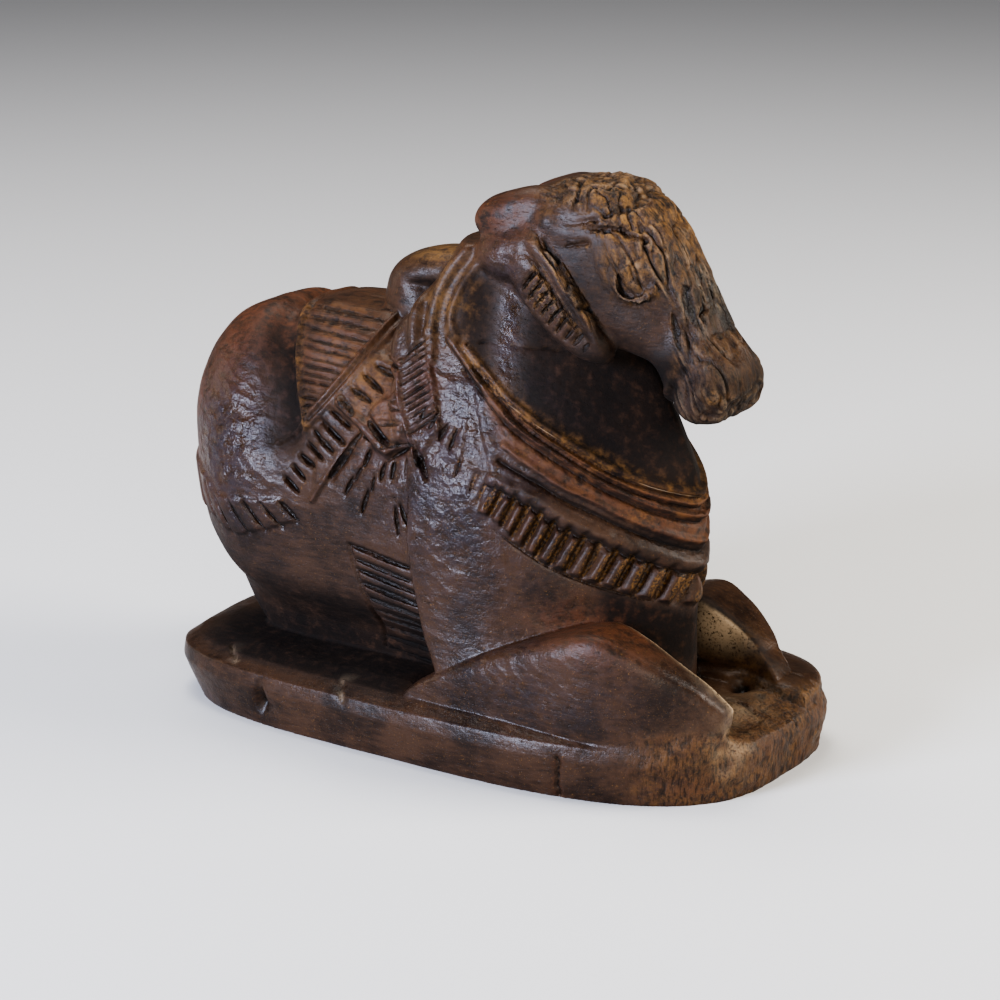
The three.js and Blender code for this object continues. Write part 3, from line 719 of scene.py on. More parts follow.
def stepForm():
    # a slab whose plan is a superellipse, rounded over its upper edge by a quarter circle
    length, width = (step["x"][1] - step["x"][0]) / 2, (step["y"][1] - step["y"][0]) / 2
    c, t = squarish(0.4, length, width, 150)
    lift = np.linspace(0, np.pi / 2, ringCount(6))[1:]
    wall = np.linspace(step["low"], step["top"] - step["round"], ringCount(8))
    z = np.concatenate([wall, step["top"] - step["round"] * (1 - np.sin(lift))])[:, None]
    inset = np.concatenate([np.zeros(len(wall)), step["round"] * 2 * (1 - np.cos(lift))])[:, None]
    x = sum(step["x"]) / 2 + (length - inset) * c - plinth["middle"]
    y = sum(step["y"]) / 2 + (width - inset) * t
    power = plinth["corners"]["farFront"]
    a, b = (plinth[size] / 2 - step["inset"] - inset for size in ("length", "width"))
    share = np.maximum((np.abs(x) / a) ** power + (np.abs(y) / b) ** power, 1) ** (-1 / power)
    return ringsOf(x * share + plinth["middle"], y * share, z)


keep("step", closedForm(stepForm()))


def plinthForm():
    # level superellipse rings of height, inset and how far the rear end rakes in; corners differ
    p = plinth
    rings = [
        [0, 2.2, p["rake"]], [0.6, 1.7, p["rake"]], [p["height"] - p["fall"] - 4, 0, p["rake"] * 0.1],
        [p["height"] - p["fall"], 0.8, 0], [p["height"] - 1.5, 5, 0], [p["height"], 12, 0],
    ]
    rings = np.array(rings)
    run = np.concatenate([[0], np.cumsum(np.hypot(np.diff(rings[:, 0]), np.diff(rings[:, 1])))])
    at = np.linspace(0, run[-1], ringCount(run[-1]))
    z, inset, rake = (np.interp(at, run, rings[:, k])[:, None] for k in range(3))
    corner = p["corners"]

    def ring(turn, a, b, rake):
        # each corner's power is 2 over its squareness
        c, s = np.cos(turn), np.sin(turn)
        power = np.where(s < 0, np.where(c > 0, corner["nearFront"], corner["nearRear"]),
                         np.where(c > 0, corner["farFront"], corner["farRear"]))
        power = 2 / power
        return (a - np.where(c < 0, rake, 0)) * powered(c, power) + p["middle"], b * powered(s, power)

    turn = evenTurns(lambda t: ring(t, p["length"] / 2, p["width"] / 2, 0), ringCount(540))[None]
    x, y = ring(turn, p["length"] / 2 - inset, p["width"] / 2 - inset, rake)
    return ringsOf(x, y, z - p["height"])


keep("plinth", closedForm(plinthForm()))


def makeMesh(name, points, faces):
    # faces: rows of three or four corners, a fourth equal to the third stands for none
    mesh = bpy.data.meshes.new(name)
    three = faces[:, 2] == faces[:, 3]
    sizes = np.where(three, 3, 4)
    keepCorner = np.ones(faces.shape, bool)
    keepCorner[three, 3] = False
    mesh.vertices.add(len(points))
    mesh.vertices.foreach_set("co", np.ascontiguousarray(points, np.float32).ravel())
    mesh.loops.add(int(sizes.sum()))
    mesh.loops.foreach_set("vertex_index", np.ascontiguousarray(faces[keepCorner], np.int32))
    mesh.polygons.add(len(faces))
    starts = np.concatenate([[0], np.cumsum(sizes)[:-1]])
    mesh.polygons.foreach_set("loop_start", starts.astype(np.int32))
    mesh.update(calc_edges=True)
    return mesh


def addObject(name, data):
    # a new object of the scene
    made = bpy.data.objects.new(name, data)
    bpy.context.scene.collection.objects.link(made)
    return made


def joinForms():
    # all forms in one mesh, still one shell inside another
    points, faces, base = [], [], 0
    for own, quads, fans in formsMade:
        points.append(own)
        faces.append(np.concatenate([quads, fans]) + base)
        base += len(own)
    mesh = makeMesh("nandi_wood", toScene(np.concatenate(points)), np.concatenate(faces))
    return addObject("nandi_wood", mesh)


def applyModifier(piece, modifier):
    # the modifier's result becomes the mesh
    bpy.context.view_layer.objects.active = piece
    bpy.ops.object.modifier_apply(modifier=modifier.name)


piece = joinForms()
print(f"forms joined: {len(piece.data.vertices)} points")
remesh = piece.modifiers.new("joined", "REMESH")
remesh.mode = "VOXEL"
remesh.voxel_size = block["voxel"] / 1000
applyModifier(piece, remesh)
print(f"one block: {len(piece.data.vertices)} points")


def rowsOf(items, name, width=3, kind=np.float32):
    # one property of a mesh's points, edges or colours, a row each
    rows = np.zeros(len(items) * width, kind)
    items.foreach_get(name, rows)
    return rows.reshape(-1, width)


def averaged(values, edges, times, hold=0.0):
    # mean of each point's neighbours, mixed with its own value by hold
    count = len(values)
    a, b = edges.T
    degree = np.bincount(edges.ravel(), minlength=count).astype(np.float32)
    for _ in range(times):
        total = np.stack([
            np.bincount(a, v[b], count) + np.bincount(b, v[a], count) for v in values.T
        ], axis=1)
        values = values * hold + (1 - hold) * (total / degree[:, None])
    return values


# Marks made once the block is one: centre, radii across x, y and z, height (a dent is less than nothing).
lumps = [
    [[20.1, -18, 132.6], [3, 3, 3], 1.3], [[8.6, -18, 125.7], [6, 4, 5], 0.8],
    [[69.6, -13, 89.8], [3, 3, 2.6], 1.0], [[71.8, -5, 95.3], [4, 4, 4], 0.9],
    [[64.8, -12, 99.5], [4, 3, 3], 0.8], [[59, -14, 88], [4, 4, 5], 1.0],
    [[46.5, -17, 121.5], [3.5, 3, 2.2], 0.9], [[52, -12, 124], [3, 3, 4], 0.7],
    [[20.1, 18, 132.6], [3, 3, 3], 1.1], [[62.5, -14, 94], [2.2, 3, 6], -1.5],
    [[60.8, -11, 105], [1.8, 3, 4], -1.2], [[66.5, -14, 88], [1.8, 3, 2], -0.9],
    [[55, -8, 122], [3, 4, 4], -0.9], [[43, -12, 131], [5, 3, 2.2], -0.8],
    [[33, -14, 131], [6, 3, 2], -0.6], [[65, 14, 0], [3, 3.6, 5], -3.4],
    [[-58.9, -48, -12.1], [1.7, 4, 4.2], -2.6], [[-57.6, -48, -14], [3.5, 4, 2], -1.2],
    [[84, -22, -6], [5, 6, 6], -1.4], [[80, -6, 0], [7, 9, 3], -2.6], [[84, 8, 0], [6, 7, 3], -1.8],
    [[83, 20, 1], [4, 4, 4], -1.4], [[72, -10, 0], [9, 8, 3], -1.2], [[68, 24, 7], [3, 6, 3], -1.5],
    [[-103, -20, -5], [4, 7, 5], -1.2], [[-104, 14, -4], [3, 5, 6], -1.0],
    [[-60, 48, -8], [6, 3, 4], -1.1], [[20, 48, -12], [9, 3, 3], -0.8],
    [[-95, 0, 45], [6, 12, 10], -0.8], [[-21, -14, 105.5], [5.5, 6, 4.6], -4],
    [[-21, 14, 105.5], [5.5, 6, 4.6], -4], [[-27, -14, 107.6], [5, 6, 1.6], -1.2],
    [[-27, 14, 107.6], [5, 6, 1.6], -1.2], [[62, 0, 88], [5, 4, 5], -0.8],
]
# cracks: points in space, width, depth
splits = [
    [[[0.6, -26, 97.7], [2.7, -24, 97.7], [13.6, -20, 96.9], [23.6, -16, 96.8], [30, -13, 97]], 0.8, 1.0],
    [[[42.5, -46, -6], [42.3, -45, -10], [42.1, -44, -13.2], [41.4, -43, -20]], 0.9, 1.1],
    [[[-31.9, -43, -1.5], [-30.2, -46, -3.5], [-28.5, -48, -5.4]], 1.0, 0.7],
    [[[-79, -29, 4], [-76, -38, -1], [-70, -44, -3.4]], 1.0, 0.8],
    [[[63, 2, -0.2], [72, 3, -0.3], [84, 1, -0.6]], 0.9, 0.9],
    [[[60, -8, 0], [71, -9, 0], [86, -9, -3]], 0.8, 0.8],
    [[[60, 25, 3], [74, 24, 2.5], [86, 25, 0]], 0.8, 0.8],
    [[[-100, 10, 72], [-98, 6, 60], [-101, 8, 48]], 0.9, 0.8],
    [[[86, 10, -4], [87, 9, -12], [86, 10, -20]], 0.9, 1.1],
    [[[-60, 48, -3], [-58, 49, -12], [-59, 48, -20]], 0.9, 0.9],
    [[[49, -15, 137], [52, -5, 137], [50, 6, 137]], 0.9, 0.9],
]
# places worn soft: centre, radii, rounds of averaging
softened = [
    [[8, -14, 133], [14, 8, 8], 26], [[8, 14, 133], [14, 8, 8], 26], [[6, -14, 121], [9, 9, 9], 8],
    [[6, 14, 121], [9, 9, 9], 8], [[76, -32, -6], [14, 14, 9], 30], [[72, 44, 0], [16, 8, 6], 12],
    [[-26, 0, 106], [12, 14, 6], 3], [[64, 0, 92], [12, 14, 14], 5], [[40, -16, 98], [8, 8, 4], 10],
    [[40, 16, 98], [8, 8, 4], 10],
]


def bell(points, centre, radii):
    # e to the minus of the squared distance, measured in radii
    return np.exp(-(((points - np.array(centre, float)) / np.array(radii, float)) ** 2).sum(1))


def strongest(*shares):
    # the largest share at each point
    return np.maximum.reduce(shares)


def soften(co, drawn, edges):
    # average the points of each worn place a number of times, most at its centre
    for centre, radii, rounds in softened:
        pick = bell(drawn, centre, radii)
        inside = pick > 0.02
        own = inside[edges].any(1)
        local = edges[own]
        used, back = np.unique(local, return_inverse=True)
        part, links = co[used], back.reshape(-1, 2)
        weight = np.clip(pick[used] * 1.6, 0, 0.9)[:, None]
        for _ in range(rounds * (3)):
            part = part * (1 - weight) + weight * averaged(part, links, 1)
        co[used] = part
    return co


def splitDepth(drawn):
    # a crack: depth times one less the distance over its half width, its line shaken
    depth = np.zeros(len(drawn))
    for places, width, deep in splits:
        path = np.asarray(places, float)
        run = np.concatenate([[0], np.cumsum(np.linalg.norm(np.diff(path, axis=0), axis=1))])
        path = np.stack([np.interp(np.linspace(0, run[-1], 14), run, path[:, k]) for k in range(3)], axis=1)
        path += np.random.default_rng(8).normal(0, 0.3, path.shape)
        pick = near(drawn, path, 4)
        far = nearestInSpace(drawn[pick], path)
        depth[pick] = np.maximum(depth[pick], deep * np.clip(1 - far / width / 1, 0, 1))
    return depth


def lineFields(drawn):
    # millimetres outside the nearest stroke, above the ledge's crest and off the nearest necklace cut,
    # each clipped to 2 either way and spread from 0 to 1
    points, side = drawn[:, [0, 2]], np.abs(drawn[:, 1])
    rear = read(chestStations, np.clip(points[:, 1], -7, 123))[:, 0]
    onChest, high = points[:, 0] > rear, points[:, 1] > 97 + 0.3 * (20 - points[:, 0])
    places = {
        "trunk": ~onChest & (side > 11), "chest": onChest & ~high, "ear": high & (side > 16), "head": high,
    }
    field = np.full(len(points), 2.0)
    for form, strokes in strokesOf.items():
        for a, b, width in strokes:
            pick = near(points, np.array([a, b]), width / 2 + 1)
            pick = pick[places[form][pick]]
            if len(pick):
                far, at, _ = nearest(points[pick], np.array([a, b]))
                half = width / 2 * np.sin(np.pi * np.clip(at * 0.8 + 0.1, 0, 1)) ** 0.6
                field[pick] = np.minimum(field[pick], far - half)
    ledge, _, turn = nearest(points, smoothPath(necklace["ledge"]))
    cut = np.full(len(points), 2.0)
    for path, width, _ in necklaceGrooves():
        cut = np.minimum(cut, nearest(points, path)[0] - width / 2)
    cut = np.where(onChest, cut, 2)
    return [0.5 + np.clip(v, -2, 2) / 4 for v in (field, ledge * turn, cut)]


def mirrored(points, centre, radii):
    # a bell on the right side and its like on the left
    x, y, z = centre
    return bell(points, [x, y, z], radii) + bell(points, [x, -y, z], radii)


def areas(drawn, normal):
    # shares from 0 to 1 that say which part of the carving a point belongs to
    x, y, z = drawn.T
    points, k = drawn[:, [0, 2]], necklace
    sideways = smoothStep(0.78, 0.95, np.abs(normal[:, 1]))
    muzzle = smoothStep(54, 60, x) * smoothStep(78, 82, z)
    crown = smoothStep(12, 22, x) * smoothStep(102, 110, z) * (1 - sideways)
    brow = mirrored(drawn, [45, -15, 122], [9, 6, 8])
    worn = np.clip(strongest(crown, muzzle * 0.8, brow * 0.9), 0, 1)
    band = smoothStep(-2, 1, within(points, np.array(k["ledge"] + k["hem"][::-1]))) * (x > 8)
    upper = smoothStep(-1, 1, within(points, np.array(k["ledge"] + k["middle"][::-1]))) * (x > 8)
    ledge = np.exp(-((farFrom(points, k["ledge"]) / 1.9) ** 2)) * smoothStep(-6, 2, x)
    front = smoothStep(64, 82, x + 0.25 * np.abs(y)) * smoothStep(3, -1, z)
    cloth = smoothStep(0.8, 2.2, within(points, np.array(saddle["rear"] + saddle["front"][::-1])))
    cloth = cloth * smoothStep(6, 9, np.abs(y))
    # the neck's lit facet, which takes the painted sheen
    neck = mirrored(drawn, [10, -22, 106], [6, 10, 18])
    return {"worn": worn, "muzzle": muzzle, "band": band, "upper": upper, "ledge": ledge, "front": front,
            "saddle": cloth, "neck": neck}


def finishSurface(piece):
    # soften the block, then move each point along its normal by noise, furrows, lumps and cracks
    mesh = piece.data
    co = rowsOf(mesh.vertices, "co").astype(np.float64)
    edges = rowsOf(mesh.edges, "vertices", 2, np.int32)
    flat = co[:, 2] < 0.0004
    co = soften(co, toDrawn(co), edges)
    co = averaged(co, edges, block["smoothing"], 0.4)
    co[flat, 2] = 0
    mesh.vertices.foreach_set("co", co.astype(np.float32).ravel())
    mesh.update()
    normal = rowsOf(mesh.vertices, "normal").astype(np.float64)
    drawn = toDrawn(co)
    area = areas(drawn, normal)
    lift = 0.34 * valueNoise(drawn, 13, 5, 0) + 0.16 * valueNoise(drawn, 5.5, 6, 0)
    # the worn brow: lumps and furrows that run down the face
    down, out = np.array(faceDown), np.array([-faceDown[2], 0, faceDown[0]])
    face = np.column_stack([drawn @ down * 0.34, drawn[:, 1], drawn @ out])
    furrow = np.exp(-((valueNoise(face, 4.2, 21) / 0.13) ** 2))
    furrow += 0.6 * np.exp(-((valueNoise(face, 2.2, 22) / 0.16) ** 2))
    bumps = 0.7 * valueNoise(face, 5.5, 23) + 0.4 * valueNoise(face, 2.4, 24)
    lift += area["worn"] * (bumps - 0.95 * furrow)
    lift += area["band"] * 0.16 * valueNoise(drawn, 1.9, 25)
    torn = drawn * [0.35, 1, 1]
    lift += area["front"] * (0.55 * valueNoise(torn, 4, 26) + 0.3 * valueNoise(torn, 1.8, 27) - 0.2)
    for centre, radii, height in lumps:
        lift += height * bell(drawn, centre, radii)
    lift -= splitDepth(drawn)
    lift = np.where(drawn[:, 2] < -plinthTop + 0.8, np.minimum(lift, 0), lift)
    co = co + normal * (lift / 1000)[:, None]
    co[flat, 2] = 0
    # cavities: how far a point lies below the mean of what is round it, near and wide
    rounds = ((10, 90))
    fine = ((averaged(co, edges, rounds[0], 0.3) - co) * normal).sum(1) * 1000
    wide = ((averaged(co, edges, rounds[1], 0.1) - co) * normal).sum(1) * 1000
    mesh.vertices.foreach_set("co", co.astype(np.float32).ravel())
    paint(mesh, "carving", [fine, wide, area["worn"]])
    mesh.update()


def shade(drawn, normal):
    # painted shade, with some soot in the deepest hollows, where little light reaches; each place a product
    # of steps or a bell
    points, x, wide, z = drawn[:, [0, 2]], drawn[:, 0], np.abs(drawn[:, 1]), drawn[:, 2]
    ledge, hem = np.array(necklace["ledge"], float), np.array(necklace["hem"], float)
    above = z - np.interp(x, ledge[:, 0], ledge[:, 1])
    below = np.interp(x, hem[:, 0], hem[:, 1]) - z
    pit = np.exp(-((farFrom(points, hollowPath) / 7.5) ** 2)) * smoothStep(10, 22, wide)
    chin = smoothStep(8, 26, x) * smoothStep(60, 70, z + 0.55 * (x - 20)) * smoothStep(104, 95, z)
    chin = chin * smoothStep(64, 58, x) * smoothStep(-0.5, 2, above)
    face = mirrored(drawn, [34, -20, 113], [14, 8, 15])
    bow = smoothStep(0, 3, below) * smoothStep(22, 40, x) * smoothStep(26, 20, wide) * smoothStep(2, 12, z)
    muzzle = smoothStep(56, 62, x) * smoothStep(80, 84, z) * smoothStep(100, 92, z)
    foot = smoothStep(16, 4, z) * smoothStep(-4, -1, z) * smoothStep(46, 42, wide) * smoothStep(-4, -20, x)
    # painted shade on the neck behind the head, apart from one lit facet and the ears
    neck = smoothStep(0.5, 3, above) * smoothStep(-8, -2, x) * smoothStep(40, 30, x)
    neck = neck * smoothStep(119, 112, z) * smoothStep(7.5, 9, farFrom(points, earMarks["line"]))
    facet = np.exp(-(((x - 9.5 + 0.12 * (z - 106)) / 4.2) ** 2))
    flank = bell(drawn, [-22, 0, 18], [14, 60, 22]) * smoothStep(-10, -14, x)
    # painted shade on faces that look down
    under = smoothStep(0, -0.5, normal[:, 2]) * smoothStep(-2, 2, z)
    return np.clip(strongest(
        0.95 * pit, 0.9 * chin, 0.55 * face, 0.92 * bow, 0.6 * muzzle,
        0.9 * foot * smoothStep(-100, -80, x), 0.85 * neck * (1 - facet), 0.5 * flank, 0.7 * under,
    ), 0, 1)


def paint(mesh, name, values):
    # up to four numbers a point, kept as a colour attribute
    rows = np.zeros((len(mesh.vertices), 4), np.float32)
    rows[:, :len(values)] = np.stack(values, axis=1)
    mesh.attributes.new(name, "FLOAT_COLOR", "POINT").data.foreach_set("color", rows.ravel())


def paintSurface(mesh):
    # once the block is thinned: painted shade, dirt, polish with its painted sheen and the lines of the
    # carving, point by point
    layer = mesh.attributes["carving"].data
    carving = rowsOf(layer, "color", 4).astype(np.float64)
    drawn = toDrawn(rowsOf(mesh.vertices, "co").astype(np.float64))
    normal = rowsOf(mesh.vertices, "normal").astype(np.float64)
    area = areas(drawn, normal)
    carving[:, 3] = shade(drawn, normal)
    layer.foreach_set("color", carving.astype(np.float32).ravel())
    paint(mesh, "lines", lineFields(drawn))
    paint(mesh, "places", [area["saddle"], area["front"], area["neck"], area["band"]])
    stain(mesh, drawn, normal, area, carving[:, 0])


def stain(mesh, drawn, normal, area, fine):
    # ochre dirt, red wood, bare pale wood with a painted highlight on the knee's ridge, and polish, which
    # also places a painted sheen; each a share from 0 to 1
    points, (x, y, z) = drawn[:, [0, 2]], drawn.T
    spot = lambda centre, radii: bell(drawn, centre, radii)
    pair = lambda centre, radii: mirrored(drawn, centre, radii)
    patchy = 0.5 + 0.5 * valueNoise(drawn, 7, 31)
    small = 0.5 + 0.5 * valueNoise(drawn, 3, 32)
    ridge = 0.3 + 0.7 * smoothStep(0.10, -0.12, fine)
    dim = spot([58, 0, 113], [6, 30, 10]) + spot([24, -16, 134], [10, 9, 4])
    dim = 1 - 0.75 * np.clip(dim, 0, 1)
    crown = area["worn"] * (0.3 + 0.8 * patchy) * ridge * dim * (1 - 0.55 * area["muzzle"])
    rim = farFrom(points, saddle["rear"])
    cloth = spot([-48, 0, 88], [16, 60, 14])
    ochre = strongest(
        crown * smoothStep(-0.75, -0.2, normal[:, 2]),
        spot([69.6, -13, 89.8], [2.6, 9, 2.4]),
        area["ledge"] * (0.35 + 0.6 * small),
        area["band"] * (0.04 + 0.45 * smoothStep(0.1, 0.6, fine)) * (0.4 + 0.6 * patchy),
        area["upper"] * 0.55 * patchy * small,
        area["front"] * (0.12 + 0.6 * patchy * small),
        pair([24, -21, 108], [12, 6, 12]) * smoothStep(-0.1, 0.4, fine) * 0.9,  # ears
        spot([-8, 0, 107], [9, 60, 12]) * (0.2 + 0.55 * small),  # collar
        spot([-22, 0, 117.5], [14, 20, 4]) * 0.8 * smoothStep(0.1, 0.5, normal[:, 2]),  # hump
        cloth * (0.2 + 0.4 * patchy) * small,
        spot([-24, 0, 74], [20, 70, 17]) * (0.12 + 0.6 * smoothStep(-0.1, 0.3, fine)) * small,  # girth
        spot([-31, 0, 82], [9, 60, 9]) * (0.25 + 0.5 * small),
        spot([-19, 0, 73], [6, 60, 5]) * 0.7 * small,  # knot
        0.62 * np.exp(-((rim / 2.0) ** 2)) * smoothStep(8, 14, np.abs(y)),
        0.7 * spot([66, 20, 10], [16, 8, 12]) * smoothStep(0.2, -0.5, normal[:, 1]) * patchy,
    )
    red = strongest(
        smoothStep(-80, -98, x) * smoothStep(0, 12, z),  # rump
        spot([-82, 0, 92], [26, 60, 16]),
        cloth * 0.8,
        spot([0, 0, 131], [17, 30, 9]) * 1.2,  # poll
        spot([-12, 0, 85], [6, 60, 9]),
        spot([45, -30, 24], [18, 16, 6]),  # knee
        spot([-24, 0, 76], [14, 60, 14]) * 0.9,
        area["front"] * (1 - patchy) * 0.7,
        area["upper"] * 0.8,
    )
    red = np.clip(red * (0.6 + 0.7 * patchy), 0, 1)
    cut = spot([56, 20, 14], [9, 6, 6]) * smoothStep(-0.3, -0.8, normal[:, 1])  # far leg's flat cut
    knee = nearestInSpace(drawn, kneeRidge)
    pale = [
        cut * smoothStep(0.1, 0.5, small + 0.4 * cut),
        # painted highlight on bare worn wood along the knee's ridge
        0.95 * np.exp(-((knee / 1.6) ** 2)) * smoothStep(0.1, 0.45, small),
        0.6 * spot([84, -22, -4], [5, 8, 9]) * small,
        area["worn"] * 0.35 * smoothStep(0.05, 0.3, -fine) * small,
        0.5 * spot([74, -6, 0], [12, 16, 4]) * small,
    ]
    for places, *_ in splits[2:4]:  # the two on the plinth's near side
        pale.append(0.35 * np.exp(-((nearestInSpace(drawn, places) / 0.8) ** 2)) * small)
    # where the wood is handled smooth, which also places the painted cool sheen
    polish = pair([2, -40, 68], [26, 26, 34]) + pair([-76, -36, 60], [20, 22, 24])
    polish += 0.4 * spot([30, -44, 8], [34, 10, 12]) + 0.8 * spot([8, -20, 118], [7, 8, 6])
    polish += 0.8 * pair([61, -14, 94], [4, 5, 8])
    paint(mesh, "stain", [ochre, red, np.clip(strongest(*pale), 0, 1), np.clip(polish, 0, 1)])


finishSurface(piece)
print("surface carved")
thin = piece.modifiers.new("thinned", "DECIMATE")
thin.ratio = min(1.0, block["triangles"] / (2 * len(piece.data.polygons)))
thin.use_collapse_triangulate = True
applyModifier(piece, thin)
piece.data.polygons.foreach_set("use_smooth", np.ones(len(piece.data.polygons), bool))
print(f"thinned to {len(piece.data.polygons)} triangles")
paintSurface(piece.data)
print("surface painted")


# The wood: one dictionary of the values a user may change, colours linear, lengths in millimetres.
wood = {
    "dark": (0.0070, 0.0034, 0.0022), "brown": (0.028, 0.0135, 0.0073), "red": (0.058, 0.0195, 0.0080),
    # the darkest colour stands for soot and for painted shade
    "ochre": (0.132, 0.065, 0.0175), "pale": (0.34, 0.25, 0.16), "sootAndShade": (0.0016, 0.0008, 0.0005),
    # the cool lavender colour below is a painted sheen
    "paintedSheen": (0.018, 0.0145, 0.0200),
    "roughness": 0.36, "polish": 0.17, "specular": 0.14,
    "grainLength": 6.0, "facets": 0.75, "slitDepth": 0.34,
}


class Graph:
    # short names for a material's nodes; a value is a number, a colour or another node's socket
    def __init__(self, material):
        material.use_nodes = True
        self.nodes, self.links = material.node_tree.nodes, material.node_tree.links
        self.nodes.clear()

    def node(self, kind, inputs, **settings):
        # a node with its settings; each input goes by name or number
        made = self.nodes.new("ShaderNode" + kind)
        for name, value in settings.items():
            setattr(made, name, value)
        for key, value in inputs.items():
            socket = made.inputs[key]
            if isinstance(value, bpy.types.NodeSocket):
                self.links.new(value, socket)
            elif socket.type == "RGBA" and len(value) == 3:
                socket.default_value = (*value, 1)
            else:
                socket.default_value = value
        return made.outputs

    def math(self, kind, a, b=0.0, c=0.0, clamp=False):
        # a sum, product or the like of up to three values
        return self.node("Math", {0: a, 1: b, 2: c}, operation=kind, use_clamp=clamp)[0]

    def times(self, first, *others):
        # the product of all
        for value in others:
            first = self.math("MULTIPLY", first, value)
        return first

    def most(self, first, *others):
        # the largest of all
        for value in others:
            first = self.math("MAXIMUM", first, value)
        return first

    def line(self, value, factor, base):
        # value times factor plus base
        return self.math("MULTIPLY_ADD", value, factor, base)

    def band(self, value, low, high, to=1.0):
        # a smooth step from 0 at low to the last value at high
        inputs = {0: value, 1: low, 2: high, 3: 0.0, 4: to}
        return self.node("MapRange", inputs, interpolation_type="SMOOTHSTEP")[0]

    def mix(self, share, a, b):
        # the colour that lies a share of the way from a to b
        return self.node("Mix", {0: share, 6: a, 7: b}, data_type="RGBA")[2]

    def noise(self, coordinates, scale, detail=3.0, roughness=0.55):
        # cloudy noise about 0.5
        inputs = {"Vector": coordinates, "Scale": scale, "Detail": detail, "Roughness": roughness}
        return self.node("TexNoise", inputs)["Fac"]

    def stretched(self, factors):
        # the object's own coordinates, each times its factor: thousands make them millimetres
        place = self.node("TexCoord", {})["Object"]
        return self.node("VectorMath", {0: place, 1: factors}, operation="MULTIPLY")[0]

    def drawnOut(self, axis, share, scale=1000):
        # coordinates that run only a share as fast along one axis: streaks along it
        place = self.stretched((scale, scale, scale))
        dot = self.node("VectorMath", {0: place, 1: axis}, operation="DOT_PRODUCT")["Value"]
        size = self.times(dot, 1 - share)
        along = self.node("VectorMath", {0: axis, "Scale": size}, operation="SCALE")[0]
        return self.node("VectorMath", {0: place, 1: along}, operation="SUBTRACT")[0]

    def cells(self, coordinates, scale):
        # distance from the middle of the nearest cell
        inputs = {"Vector": coordinates, "Smoothness": 0.3, "Scale": scale}
        return self.node("TexVoronoi", inputs, feature="SMOOTH_F1")["Distance"]

    def painted(self, name):
        # the four numbers of a painted attribute
        given = self.node("Attribute", {}, attribute_name=name)
        return (*self.node("SeparateColor", {0: given["Color"]})[:3], given["Alpha"])


